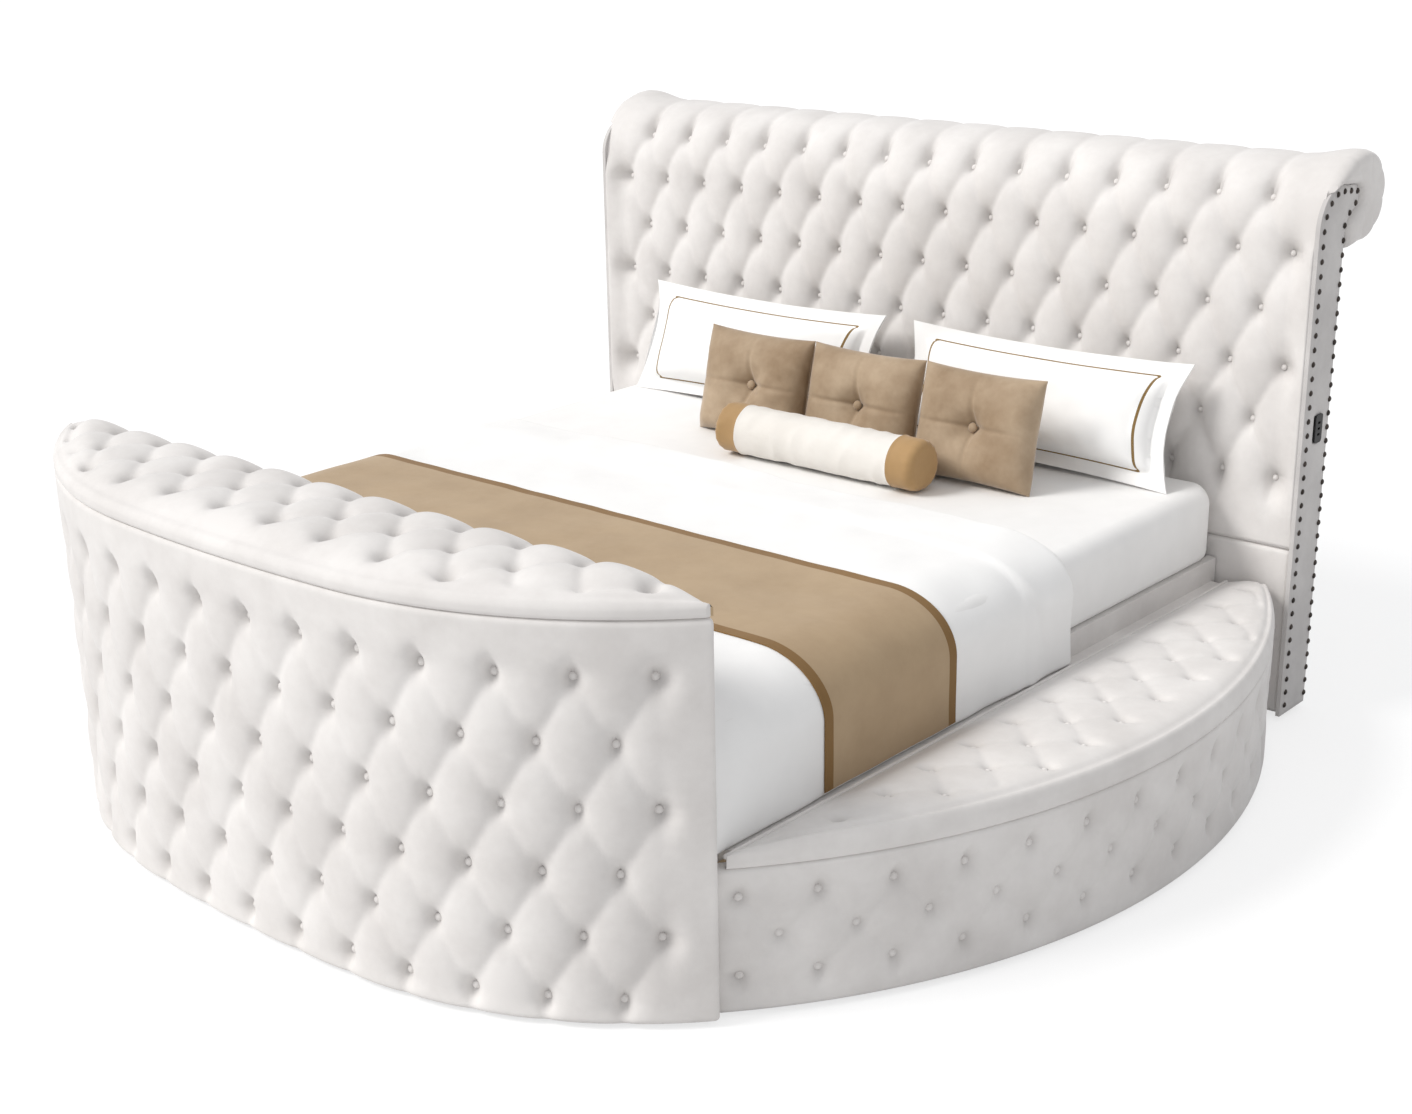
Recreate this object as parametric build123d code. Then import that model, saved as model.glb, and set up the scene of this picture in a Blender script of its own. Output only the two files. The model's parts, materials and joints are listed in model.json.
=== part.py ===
"""Round storage bed: scroll-top tufted headboard, curved footboard, two curved side benches.

Units are millimetres. +Z is up, the headboard is towards +Y, and the origin lies on the floor
under the middle of the whole bed.
"""
from build123d import *
import os
from math import acos, asin, atan2, ceil, cos, degrees, floor, hypot, pi, radians, sin, sqrt

# Sleeping surface
mattress_width = 1930
mattress_length = 2030
mattress_height = 200
mattress_corner = 70
mattress_edge = 40
deck_height = 403
foot_gap = 4
head_gap = 5

# General clearances
moving_gap = 0.3
seat_gap = 0.3
cut_overrun = 50
foot_height = 10
foot_radius = 22

# Footboard: three arcs in plan, closed by a straight inner face
foot_depth = 357
foot_half_width = 1025
foot_front_reach = 340
foot_front_radius = 4600
foot_seam_height = 848
foot_tuft_depth = 34
foot_pad_base = 7
foot_wall = 15
foot_inner_pad = 12
foot_inner_wall = 18
foot_floor = 12
foot_corner_block = 75
foot_column_pitch = 155.6
foot_row_pitch = 134.6
foot_first_row = 55
foot_top_margin = 100
foot_edge_roll = 14
foot_end_blend = 75

# Footboard lid
foot_lid_board = 18
foot_lid_crown = 74
foot_lid_cover = 8
foot_lid_back = 26
foot_lid_button_rows = 3
foot_lid_row_pitch = 96
foot_lid_column_pitch = 165
foot_lid_first_row = 52
foot_lid_button_margin = 52
foot_lid_inner_shoulder = 60
foot_lid_outer_shoulder = 110
foot_lid_end_shoulder = 150

# Side benches: one arc in plan, closed by the straight bed side
bench_reach = 1413.5
bench_tip_x = 986.3
bench_centre_y = 93
bench_seam_height = 325
bench_tuft_depth = 24
bench_pad_base = 8
bench_wall = 12
bench_inner_panel = 12
bench_floor = 12
bench_end_panel = 12
bench_head_clearance = 10
bench_foot_clearance = 1.5
bench_column_pitch = 157
bench_row_pitch = 85
bench_first_row = 84
bench_top_margin = 60
bench_first_button = 46
bench_edge_roll = 12
bench_end_blend = 45

# Bench lids
lid_board = 18
lid_crown = 45
lid_cover = 8
lid_tip_width = 14
lid_outer_rise = 14
lid_inner_rise = 1.5
lid_inner_shoulder = 140
lid_outer_shoulder = 90
lid_end_shoulder = 130
lid_button_rows = 3
lid_row_pitch = 86
lid_column_pitch = 152
lid_first_row = 116
lid_button_margin = 55
lid_tuft_radius = 34
lid_tuft_depth = 13

# Hinges
hinge_axis_x = 1005
hinge_leaf = 2
hinge_leaf_gap = 1
hinge_leaf_height = 17
hinge_knuckle_radius = 4.6
hinge_pin_radius = 2.5
hinge_running_gap = 0.05
hinge_length = 90
hinge_knuckle_gap = 0.5
hinge_spacing = 560
hinge_count = 3
hinge_rail_height = 25
hinge_pin_head_radius = 3.6
hinge_pin_head = 1.5

# Headboard
headboard_width = 2364
headboard_seam_height = 460
headboard_tuft_depth = 40
headboard_pad_base = 8
headboard_column_pitch = 145.6
headboard_side_margin = 70
headboard_row_pitch = 142
headboard_first_row = 632
headboard_bend_margin = 35
headboard_top_row_pitch = 128
headboard_pleat_depth = 16
headboard_edge_roll = 16
headboard_border_proud = 5
headboard_board = 12
headboard_frame_depth = 52
headboard_back_board = 8
headboard_post = 60
headboard_rail = 60
headboard_bottom = 14
headboard_lower_set_back = 2
roll_top = 1445
roll_radius = 120
roll_front_radius = 202
roll_step_degrees = 30
front_step_degrees = 20
scroll_skin = 3
scroll_skin_offset = 2.7
scroll_rib = 18
scroll_rib_count = 5
scroll_bar_radius = 20
end_panel = 16
roll_cap_proud = 16
roll_cap_edge = 10

# Nailheads and the socket on the end panels
nail_radius = 7.5
nail_height = 4.5
nail_facets = 3
nail_pitch = 36
nail_front_inset = 10
nail_row_spacing = 110
nail_panel_margin = 14
nail_bottom = 44
nail_top = 1357
nail_tip_y_from_roll = 4
nail_tip_height = 1340
nail_return_height = 1278
nail_front_bend = 84
nail_tip_bend = 15
nail_return_bend = 40
socket_height = 770
socket_plate_width = 37
socket_plate_length = 73
socket_plate_thickness = 4
socket_plate_corner = 8
socket_body_width = 27
socket_body_length = 60
socket_port_width = 13
socket_port_height = 6
socket_port_pitch = 15
socket_port_depth = 9
socket_ports = 3

# Covered buttons
button_radius = 11.5
button_dome = 4
button_neck_radius = 1.5
button_seat = 0.5

# Platform
side_rail = 25
side_rail_bottom = 150
ledger_width = 25
ledger_height = 30
slat_width = 70
slat_thickness = 18
slat_count = 14
slat_end_gap = 1
beam_width = 60
beam_height = 60
beam_leg_radius = 25
beam_leg_count = 3
bracket_thickness = 4
bracket_leg = 70
bracket_height = 120
bolt_radius = 4
bolt_head_radius = 8
bolt_head = 5
bolt_reach = 18
bolt_spacing = 70

# Bedding
duvet_thickness = 36
duvet_side = 24
duvet_hem_height = 357
duvet_head = 290
duvet_fold = 190
duvet_fold_thickness = 16
duvet_shoulder = 60
duvet_foot_inset = 14
runner_foot = -640
runner_width = 460
runner_thickness = 4
pillow_width = 880
pillow_height = 360
pillow_thickness = 150
pillow_centre_x = 475
pillow_base_y = 795
pillow_lean_degrees = 35
velvet_width = 362
velvet_height = 330
velvet_thickness = 125
velvet_base_y = 572
velvet_centre_x = 100
velvet_lean_degrees = 28
velvet_spacing = 366
velvet_dimple = 30
bolster_radius = 64
bolster_length = 650
bolster_y = 476
bolster_round = 18
bedding_gap = 0.3

# Places worked out along the bed
overall_length = foot_depth + foot_gap + mattress_length + head_gap + roll_front_radius + roll_radius
front_y = -overall_length / 2
inner_y = front_y + foot_depth
mattress_foot_y = inner_y + foot_gap
mattress_head_y = mattress_foot_y + mattress_length
crest_y = mattress_head_y + head_gap
button_y = crest_y + headboard_tuft_depth
board_y = button_y + headboard_pad_base
frame_y = board_y + headboard_board
back_board_y = frame_y + headboard_frame_depth
back_y = back_board_y + headboard_back_board
roll_y = crest_y + roll_front_radius
front_arc_z = roll_top - roll_front_radius
roll_z = roll_top - roll_radius
roll_under_z = roll_top - 2 * roll_radius
headboard_half = headboard_width / 2
panel_inner_x = headboard_half - end_panel
border_y = crest_y - headboard_border_proud
mattress_half = mattress_width / 2
mattress_top = deck_height + mattress_height

bracket_face_x = mattress_half - side_rail - bracket_thickness
bolt_hole_reach = bolt_reach + seat_gap

# Places of the benches
bench_bulge = bench_reach - bench_tip_x
bench_half_chord = bench_centre_y - inner_y - bench_foot_clearance
bench_radius = (bench_bulge ** 2 + bench_half_chord ** 2) / (2 * bench_bulge)
bench_centre_x = bench_reach - bench_radius
bench_inner_x = mattress_half
bench_hollow_x = bench_inner_x + bench_inner_panel
bench_head_y = crest_y - bench_head_clearance
bench_foot_y = inner_y + bench_foot_clearance
bench_low_radius = bench_radius - bench_tuft_depth
bench_back_radius = bench_low_radius - bench_pad_base
bench_half_step = bench_column_pitch / 4 / bench_radius
bench_ply_radius = bench_back_radius * cos(bench_half_step) - seat_gap
bench_wall_inner_radius = bench_ply_radius - bench_wall
lid_bottom = bench_seam_height
lid_board_top = lid_bottom + lid_board
leaf_offset = hinge_leaf_gap / 2 + hinge_leaf
hinge_axis_z = lid_board_top + hinge_knuckle_radius + seat_gap
lid_inner_x = hinge_axis_x + leaf_offset
lid_pad_x = hinge_axis_x + hinge_knuckle_radius + 2 * moving_gap
lid_head_y = bench_head_y - bench_foot_clearance
hinge_rail_bottom = lid_board_top - hinge_rail_height
hinge_rail_x = hinge_axis_x - leaf_offset

# Places of the footboard
foot_back_inset = foot_tuft_depth + foot_pad_base
foot_ply_inset = foot_back_inset + 1
foot_hollow_inset = foot_ply_inset + foot_wall
foot_wall_y = inner_y - foot_inner_pad
foot_hollow_y = foot_wall_y - foot_inner_wall
foot_hinge_y = inner_y + hinge_knuckle_radius
foot_hinge_z = foot_seam_height


def polygon(points):
    """A flat face through the points."""
    return Face(Wire.make_polygon(points, close=True))


def group(shapes):
    """Separate solids kept as one sub-part."""
    solids = [solid for shape in shapes for solid in shape.solids()]
    return Compound(children=solids)


def mirrored(shape):
    """The same shape on the other side of the bed."""
    return group([solid.mirror(Plane.YZ) for solid in shape.solids()])


def both_sides(shape):
    """A shape and its mirror image as a list of solids."""
    return list(shape.solids()) + list(mirrored(shape).solids())


def block(x_range, y_range, z_range):
    """A box between pairs of limits."""
    size = [high - low for low, high in (x_range, y_range, z_range)]
    centre = [(high + low) / 2 for low, high in (x_range, y_range, z_range)]
    return Pos(*centre) * Box(*size)


def rod(radius, start, end):
    """A round bar from one point to another."""
    axis = Vector(*end) - Vector(*start)
    plane = Plane(origin=start, z_dir=axis)
    return extrude(plane * Circle(radius), amount=axis.length)


def circle_on_line(centre, radius, first, second):
    """Where a circle crosses the straight line through two points, on the side of the first."""
    dx, dy = second[0] - first[0], second[1] - first[1]
    fx, fy = first[0] - centre[0], first[1] - centre[1]
    a = dx * dx + dy * dy
    b = fx * dx + fy * dy
    c = fx * fx + fy * fy - radius * radius
    root = sqrt(b * b - a * c)
    near = min(((-b - root) / a, (-b + root) / a), key=abs)
    return first[0] + near * dx, first[1] + near * dy


class FootOutline:
    """Three arcs in plan, at any inset from the outer face; length runs from the left end."""

    def __init__(self):
        self.turn = asin(foot_front_reach / foot_front_radius)
        self.front_centre = (0, front_y + foot_front_radius)
        joint = (foot_front_reach, self.front_centre[1] - foot_front_radius * cos(self.turn))
        reach = (foot_half_width - joint[0], inner_y - joint[1])
        inward = (-sin(self.turn), cos(self.turn))
        square = reach[0] ** 2 + reach[1] ** 2
        self.end_radius = square / (2 * (reach[0] * inward[0] + reach[1] * inward[1]))
        self.end_centre = (joint[0] + self.end_radius * inward[0], joint[1] + self.end_radius * inward[1])
        self.front_half = foot_front_radius * self.turn
        self.half = self.front_half + self.end_radius * (self.end_turn(0, inner_y) - self.turn)

    def end_turn(self, inset, cut_y):
        """Angle from the front at which the end arc reaches a line across the bed."""
        return acos((self.end_centre[1] - cut_y) / (self.end_radius - inset))

    def at(self, length, inset, cut_y=inner_y):
        """Point at a length from the middle, square to the outline, its ends drawn to the line cut_y."""
        along = abs(length)
        side = -1 if length < 0 else 1
        if along <= self.front_half:
            angle = along / foot_front_radius
            centre, radius = self.front_centre, foot_front_radius - inset
        else:
            last = self.end_turn(0, inner_y)
            near_end = max(0, 1 - (self.half - along) / foot_end_blend)
            angle = self.turn + (along - self.front_half) / self.end_radius
            angle += near_end * (self.end_turn(inset, cut_y) - last)
            centre, radius = self.end_centre, self.end_radius - inset
        return side * (centre[0] + radius * sin(angle)), centre[1] - radius * cos(angle)

    def front_at(self, x, inset):
        """The outline's Y at a place across the bed."""
        limit = (foot_front_radius - inset) * sin(self.turn)
        if abs(x) <= limit:
            return self.front_centre[1] - sqrt((foot_front_radius - inset) ** 2 - x * x)
        reach = abs(x) - self.end_centre[0]
        return self.end_centre[1] - sqrt((self.end_radius - inset) ** 2 - reach * reach)

    def reach_at(self, y, inset):
        """Half the outline's width at a line across the bed."""
        rise = y - self.end_centre[1]
        return self.end_centre[0] + sqrt((self.end_radius - inset) ** 2 - rise * rise)

    def face(self, inset, cut_y):
        """The area inside the outline, cut off at a line across the bed."""
        half = self.half
        middle = (self.front_half + half) / 2
        marks = [-half, -middle, -self.front_half, 0, self.front_half, middle, half]
        points = [self.at(mark, inset, cut_y) for mark in marks]
        arcs = [ThreePointArc(*points[i:i + 3]) for i in (0, 2, 4)]
        return make_face(Curve() + [*arcs, Line(points[-1], points[0])])


class BenchOutline:
    """One arc in plan; length runs from the pointed foot end along the low radius."""

    def __init__(self):
        self.centre = (bench_centre_x, bench_centre_y)
        rise = bench_foot_y - self.centre[1]
        outer_tip = (self.centre[0] + sqrt(bench_radius ** 2 - rise ** 2), bench_foot_y)
        reach = bench_hollow_x + seat_gap - self.centre[0]
        inner_tip = (bench_hollow_x + seat_gap, self.centre[1] - sqrt(bench_back_radius ** 2 - reach ** 2))
        self.foot_line = (outer_tip, inner_tip)
        self.head_line = ((bench_hollow_x, bench_head_y), (bench_radius, bench_head_y))
        self.low_angles = self.angle(0, bench_low_radius), self.angle(1, bench_low_radius)
        self.length = bench_low_radius * (self.low_angles[1] - self.low_angles[0])

    def angle(self, end, radius):
        """Angle at which a radius meets the foot end, 0, or the head end, 1."""
        if end:
            return asin((bench_head_y - self.centre[1]) / radius)
        x, y = circle_on_line(self.centre, radius, *self.foot_line)
        return atan2(y - self.centre[1], x - self.centre[0])

    def at(self, length, radius):
        """Point at a length along the arc and a distance from its centre, drawn to the cuts at the ends."""
        angle = self.low_angles[0] + length / bench_low_radius
        for end, way in ((0, length), (1, self.length - length)):
            near_end = max(0, 1 - way / bench_end_blend)
            angle += near_end * (self.angle(end, radius) - self.low_angles[end])
        return self.centre[0] + radius * cos(angle), self.centre[1] + radius * sin(angle)

    def reach_at(self, y, radius):
        """The arc's X at a place along the bed."""
        rise = y - self.centre[1]
        return self.centre[0] + sqrt(radius ** 2 - rise ** 2)

    def foot_at(self, x, radius):
        """The arc's Y at its foot end, at a distance from the bed's middle."""
        return self.centre[1] - sqrt(radius ** 2 - (x - self.centre[0]) ** 2)

    def area(self, radius, x_low, y_high):
        """The area inside a radius, beyond a line beside the bed and up to a line across it."""
        y_low = self.foot_at(x_low, radius)
        middle_y = (y_low + y_high) / 2
        arc = ThreePointArc((x_low, y_low), (self.reach_at(middle_y, radius), middle_y),
                            (self.reach_at(y_high, radius), y_high))
        return make_face(Curve() + [arc, Line(arc @ 1, (x_low, y_high)), Line((x_low, y_high), arc @ 0)])


class HeadProfile:
    """Side profile of the headboard: up the front, over the scroll and round the roll."""

    def __init__(self):
        self.low_front = roll_front_radius - headboard_tuft_depth
        self.low_roll = roll_radius - headboard_tuft_depth
        self.flat = front_arc_z - headboard_seam_height
        self.front_length = self.low_front * pi / 2
        self.roll_length = self.low_roll * pi

    def at(self, length, height):
        """Point at a length above the seam and a height over the buttons' line."""
        if length <= self.flat:
            return button_y - height, headboard_seam_height + length
        if length <= self.flat + self.front_length:
            angle = pi - (length - self.flat) / self.low_front
            radius, centre_z = self.low_front + height, front_arc_z
        else:
            angle = pi / 2 - (length - self.flat - self.front_length) / self.low_roll
            radius, centre_z = self.low_roll + height, roll_z
        return roll_y + radius * cos(angle), centre_z + radius * sin(angle)

    def face(self, inset, bottom, rear):
        """The area inside the profile at an inset, from a lowest level and forward of a rear line."""
        front, roll = roll_front_radius - inset, roll_radius - inset
        nose = (crest_y + inset, front_arc_z)
        crest = (roll_y, roll_top - inset)
        half_turn = sqrt(1 / 2)
        shoulder = (roll_y - front * half_turn, front_arc_z + front * half_turn)
        back = (roll_y + roll, roll_z)
        under = (roll_y, roll_z - roll)
        edges = [ThreePointArc(nose, shoulder, crest), ThreePointArc(crest, back, under)]
        corners = [under, (rear, under[1]), (rear, bottom), (crest_y + inset, bottom), nose]
        kept = [corners[0]]
        kept += [b for a, b in zip(corners, corners[1:]) if hypot(a[0] - b[0], a[1] - b[1]) > seat_gap]
        edges += [Line(a, b) for a, b in zip(kept, kept[1:])]
        return Plane.YZ * make_face(Curve() + edges)


foot_outline = FootOutline()
bench_outline = BenchOutline()
head_profile = HeadProfile()


def quilted(front, middle, back, s_count, t_count, s_kept, t_kept):
    """A closed padded block: a grid of front points, each cell fanned from its middle, over a back."""
    faces = []
    for i in range(s_count):
        for j in range(t_count):
            corners = [front(i, j), front(i + 1, j), front(i + 1, j + 1), front(i, j + 1)]
            centre = middle(i, j)
            faces += [polygon([a, b, centre]) for a, b in zip(corners, corners[1:] + corners[:1])]
    for a, b in zip(s_kept, s_kept[1:]):
        for c, d in zip(t_kept, t_kept[1:]):
            faces.append(polygon([back(a, c), back(a, d), back(b, d), back(b, c)]))
    for j, kept in ((0, t_kept[0]), (t_count, t_kept[-1])):
        edge = [front(i, j) for i in range(s_count + 1)]
        faces.append(polygon(edge + [back(i, kept) for i in reversed(s_kept)]))
    for i, kept in ((0, s_kept[0]), (s_count, s_kept[-1])):
        edge = [front(i, j) for j in range(t_count + 1)]
        faces.append(polygon(edge + [back(kept, j) for j in reversed(t_kept)]))
    return Solid(Shell(faces))


def pit_slope_height(s, t, pits, depth, half_pitch):
    """Height that the padding may have at a place: it rises from each pit over half a pitch."""
    return depth / half_pitch * min(hypot(s - a, t - b) for a, b in pits)


def lattice_pits(lines, rows):
    """Pits of a wall's lattice, on every second line of a row, from the first line in the top row."""
    return [(length, level) for i, length in enumerate(lines) for j, level in enumerate(rows)
            if (i + j + len(rows)) % 2 == 1]


def wall_tufting(place, length, lines, rows, row_edges, depth, roll, base):
    """Tufted padding on a curved wall.

    lines are the lattice's places along the wall, rows its heights, and the top row has a button
    on its first line. place turns a length, a height over the buttons and a level into a point.
    """
    s_marks = [0, roll] + lines + [length - roll, length]
    t_marks = [row_edges[0], row_edges[0] + roll] + rows + [row_edges[1] - roll, row_edges[1]]
    s_last, t_last = len(s_marks) - 1, len(t_marks) - 1

    half_pitch = lines[1] - lines[0]
    pits = lattice_pits(lines, rows)

    def height(i, j):
        level = depth / 2 if i in (0, s_last) or j in (0, t_last) else depth
        return min(level, pit_slope_height(s_marks[i], t_marks[j], pits, depth, half_pitch))

    def front(i, j):
        return place(s_marks[i], height(i, j), t_marks[j])

    def middle(i, j):
        corners = [height(a, b) for a in (i, i + 1) for b in (j, j + 1)]
        rise = depth / 3 if 0 in corners else sum(corners) / 4
        return place((s_marks[i] + s_marks[i + 1]) / 2, rise, (t_marks[j] + t_marks[j + 1]) / 2)

    def back(i, j):
        return place(s_marks[i], -base, t_marks[j])

    return quilted(front, middle, back, s_last, t_last, list(range(s_last + 1)), [0, t_last])


def lattice_lines(first, pitch, length, margin):
    """Half-pitch lines along a wall, from a first button to the last that fits."""
    count = floor((length - margin - first) / (pitch / 2))
    return [first + i * pitch / 2 for i in range(count + 1)]


def even_rows(first, pitch, last):
    """Levels of button rows from the first to the last that fits."""
    return [first + i * pitch for i in range(floor((last - first) / pitch) + 1)]


def covered_button(slope):
    """A covered button, its neck down at the origin and its dome up along Z."""
    seat = button_radius * slope
    dome_radius = (button_radius ** 2 + button_dome ** 2) / (2 * button_dome)
    half_angle = asin(button_radius / dome_radius) / 2
    middle = (dome_radius * sin(half_angle), seat + button_dome - dome_radius * (1 - cos(half_angle)))
    low = button_neck_radius * slope
    outline = Curve() + [
        Line((0, low), (button_neck_radius, low)),
        Line((button_neck_radius, low), (button_radius, seat)),
        ThreePointArc((button_radius, seat), middle, (0, seat + button_dome)),
        Line((0, seat + button_dome), (0, low)),
    ]
    return revolve(Plane.XZ * make_face(outline), Axis.Z)


def buttons(slope, places):
    """Buttons set at points, each with the direction that it faces."""
    shape = Pos(0, 0, button_seat) * covered_button(slope)
    return [Plane(origin=point, z_dir=facing).location * shape for point, facing in places]


# Headboard

def headboard_lattice():
    """Half-pitch lines across the headboard, and the lengths of the button rows up the profile."""
    columns = floor(2 * (panel_inner_x - headboard_side_margin) / headboard_column_pitch)
    half = columns * headboard_column_pitch / 2
    lines = [-half + i * headboard_column_pitch / 2 for i in range(2 * columns + 1)]
    rows = even_rows(headboard_first_row, headboard_row_pitch, front_arc_z - headboard_bend_margin)
    lengths = [level - headboard_seam_height for level in rows]
    return lines, lengths + [lengths[-1] + headboard_top_row_pitch]


def headboard_tufting():
    """Diamond tufting up the front, running over the scroll as pleats from the top row of buttons."""
    lines, rows = headboard_lattice()
    x_marks = [-panel_inner_x, -panel_inner_x + headboard_edge_roll] + lines
    x_marks += [panel_inner_x - headboard_edge_roll, panel_inner_x]
    turned = rows[-1] - head_profile.flat
    left = head_profile.front_length - turned
    front_steps = ceil(left / head_profile.low_front / radians(front_step_degrees))
    front_step = left / front_steps
    over = [rows[-1] + (i + 1) * front_step for i in range(front_steps)]
    roll_steps = round(pi / radians(roll_step_degrees))
    over += [over[-1] + (i + 1) * head_profile.roll_length / roll_steps for i in range(roll_steps)]
    v_marks = [0, headboard_edge_roll] + rows + over
    top_mark = len(rows) + 1
    s_last, t_last = len(x_marks) - 1, len(v_marks) - 1
    depth = headboard_tuft_depth

    half_pitch = headboard_column_pitch / 2
    pits = [(x, length) for i, x in enumerate(lines) for j, length in enumerate(rows) if (i + j) % 2 == 0]

    def height(i, j):
        if j > top_mark and 1 < i < s_last - 1:
            return depth - headboard_pleat_depth if (i + top_mark) % 2 == 0 else depth
        level = depth * 3 / 4 if j == 0 or i in (0, s_last) else depth
        return min(level, pit_slope_height(x_marks[i], v_marks[j], pits, depth, half_pitch))

    def place(x, length, rise):
        return (x, *head_profile.at(length, rise))

    def front(i, j):
        return place(x_marks[i], v_marks[j], height(i, j))

    def middle(i, j):
        corners = [height(a, b) for a in (i, i + 1) for b in (j, j + 1)]
        rise = depth / 3 if 0 in corners else sum(corners) / 4
        return place((x_marks[i] + x_marks[i + 1]) / 2, (v_marks[j] + v_marks[j + 1]) / 2, rise)

    def back(i, length):
        return place(x_marks[i], length, -headboard_pad_base)

    lengths = [0, head_profile.flat, head_profile.flat + turned / 2, rows[-1]] + over
    return quilted(front, middle, back, s_last, t_last, [0, s_last], lengths)


def headboard_buttons():
    """Covered buttons in every pit of the headboard's lattice."""
    lines, rows = headboard_lattice()
    slope = headboard_tuft_depth / (headboard_column_pitch / 2)
    places = []
    for j, length in enumerate(rows):
        near, far = head_profile.at(length, 0), head_profile.at(length, 1)
        facing = (0, far[0] - near[0], far[1] - near[1])
        places += [((x, *near), facing) for i, x in enumerate(lines) if (i + j) % 2 == 0]
    return group(buttons(slope, places))


def headboard_lower_pad():
    """Plain padding below the seam, hidden behind the mattress in the middle."""
    front = crest_y - headboard_lower_set_back
    pad = block((-panel_inner_x, panel_inner_x), (front, board_y), (headboard_bottom, headboard_seam_height))
    edges = pad.edges().filter_by(Axis.X).group_by(Axis.Y)[0]
    return fillet(edges, headboard_edge_roll)


def nail_route():
    """The line of the nailheads in side view: up the front, hooked over at the scroll, and down."""
    front = border_y + nail_front_inset
    rear = front + nail_row_spacing
    tip = roll_y + nail_tip_y_from_roll
    corners = [(front, nail_bottom), (front, nail_top), (tip, nail_tip_height), (rear, nail_return_height),
               (rear, nail_bottom)]
    return FilletPolyline(*corners, radius=[nail_front_bend, nail_tip_bend, nail_return_bend])


def end_panel_face():
    """The end panel's outline: the nailheads' line grown by a margin, down to the bottom."""
    route = nail_route()
    bottom_front, bottom_rear = route @ 0, route @ 1
    area = make_face(Curve() + [*route.edges(), Line(bottom_rear, bottom_front)])
    grown = offset(area, amount=nail_panel_margin)
    low = nail_bottom - nail_panel_margin
    width = nail_row_spacing + 2 * nail_panel_margin
    centre = (bottom_front + bottom_rear) * 0.5
    skirt_height = low - headboard_bottom + cut_overrun
    skirt = Pos(centre.X, headboard_bottom + skirt_height / 2) * Rectangle(width, skirt_height)
    return Plane.YZ * (grown + skirt)


def socket_place():
    """Middle of the socket on the right end panel, in Y and Z."""
    return border_y + nail_front_inset + nail_row_spacing / 2, socket_height


def headboard_end_panel(with_socket):
    """A padded end panel, with the socket's cut-out on the right one."""
    panel = extrude(Pos(panel_inner_x, 0, 0) * end_panel_face(), amount=end_panel)
    if with_socket:
        y, z = socket_place()
        half_width, half_length = socket_body_width / 2 + seat_gap, socket_body_length / 2 + seat_gap
        panel -= block((panel_inner_x - cut_overrun, headboard_half + cut_overrun),
                       (y - half_width, y + half_width), (z - half_length, z + half_length))
    return panel


def roll_cap():
    """The padded end of the scroll, round the end panel."""
    profile = head_profile.face(0, roll_under_z, back_y)
    ring = Pos(panel_inner_x, 0, 0) * profile
    cap = extrude(ring, amount=end_panel + roll_cap_proud)
    cap = chamfer(cap.faces().sort_by(Axis.X)[-1].edges(), roll_cap_edge)
    panel = offset(end_panel_face(), amount=seat_gap)
    return cap - extrude(Pos(panel_inner_x - cut_overrun, 0, 0) * panel, amount=end_panel + 3 * cut_overrun)


def nailheads():
    """Hammered domed nailheads along the end panel's edge, on the right side."""
    route = nail_route()
    count = round(route.length / nail_pitch)
    turns = [i / nail_facets * pi / 2 for i in range(nail_facets + 1)]
    outline = [(0, 0)] + [(nail_radius * cos(turn), nail_height * sin(turn)) for turn in turns]
    dome = revolve(Plane.XZ * make_face(Polyline(*outline, close=True)), Axis.Z)
    points = [route @ (i / count) for i in range(count + 1)]
    return group([Plane(origin=(headboard_half, p.X, p.Y), z_dir=(1, 0, 0)).location * dome for p in points])


def socket_plate():
    """Black bezel of the power socket with its ports."""
    y, z = socket_place()
    plate = extrude(Plane(origin=(headboard_half, y, z), x_dir=(0, 1, 0), z_dir=(1, 0, 0))
                    * RectangleRounded(socket_plate_width, socket_plate_length, socket_plate_corner),
                    amount=socket_plate_thickness)
    for i in range(socket_ports):
        level = z + (i - (socket_ports - 1) / 2) * socket_port_pitch
        plate -= block((headboard_half - cut_overrun, headboard_half + cut_overrun),
                       (y - socket_port_width / 2, y + socket_port_width / 2),
                       (level - socket_port_height / 2, level + socket_port_height / 2))
    return plate


def socket_body():
    """The socket's body in the end panel, with blind ports behind the bezel's."""
    y, z = socket_place()
    body = block((panel_inner_x, headboard_half), (y - socket_body_width / 2, y + socket_body_width / 2),
                 (z - socket_body_length / 2, z + socket_body_length / 2))
    for i in range(socket_ports):
        level = z + (i - (socket_ports - 1) / 2) * socket_port_pitch
        body -= block((headboard_half - socket_port_depth, headboard_half + cut_overrun),
                      (y - socket_port_width / 2, y + socket_port_width / 2),
                      (level - socket_port_height / 2, level + socket_port_height / 2))
    return body


def headboard_posts():
    """Two timber posts at the ends of the headboard frame."""
    post = block((panel_inner_x - headboard_post, panel_inner_x), (frame_y, back_board_y),
                 (foot_height, front_arc_z))
    return group(both_sides(post))


def headboard_rails():
    """Timber rails between the posts: bottom, middle and top."""
    half = panel_inner_x - headboard_post
    lows = (headboard_bottom, headboard_seam_height, front_arc_z - headboard_rail)
    return group([block((-half, half), (frame_y, back_board_y), (low, low + headboard_rail)) for low in lows])


def scroll_ribs():
    """Plywood ribs that carry the scroll, standing on the top rail."""
    inset = headboard_tuft_depth + headboard_pad_base + scroll_skin_offset + scroll_skin + seat_gap
    face = head_profile.face(inset, front_arc_z, back_board_y)
    span = 2 * (panel_inner_x - headboard_post) - scroll_rib
    ribs = []
    for i in range(scroll_rib_count):
        x = -span / 2 + i * span / (scroll_rib_count - 1)
        ribs.append(extrude(Pos(x - scroll_rib / 2, 0, 0) * face, amount=scroll_rib)
                    - scroll_bar(scroll_bar_radius + seat_gap))
    return group(ribs)


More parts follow.
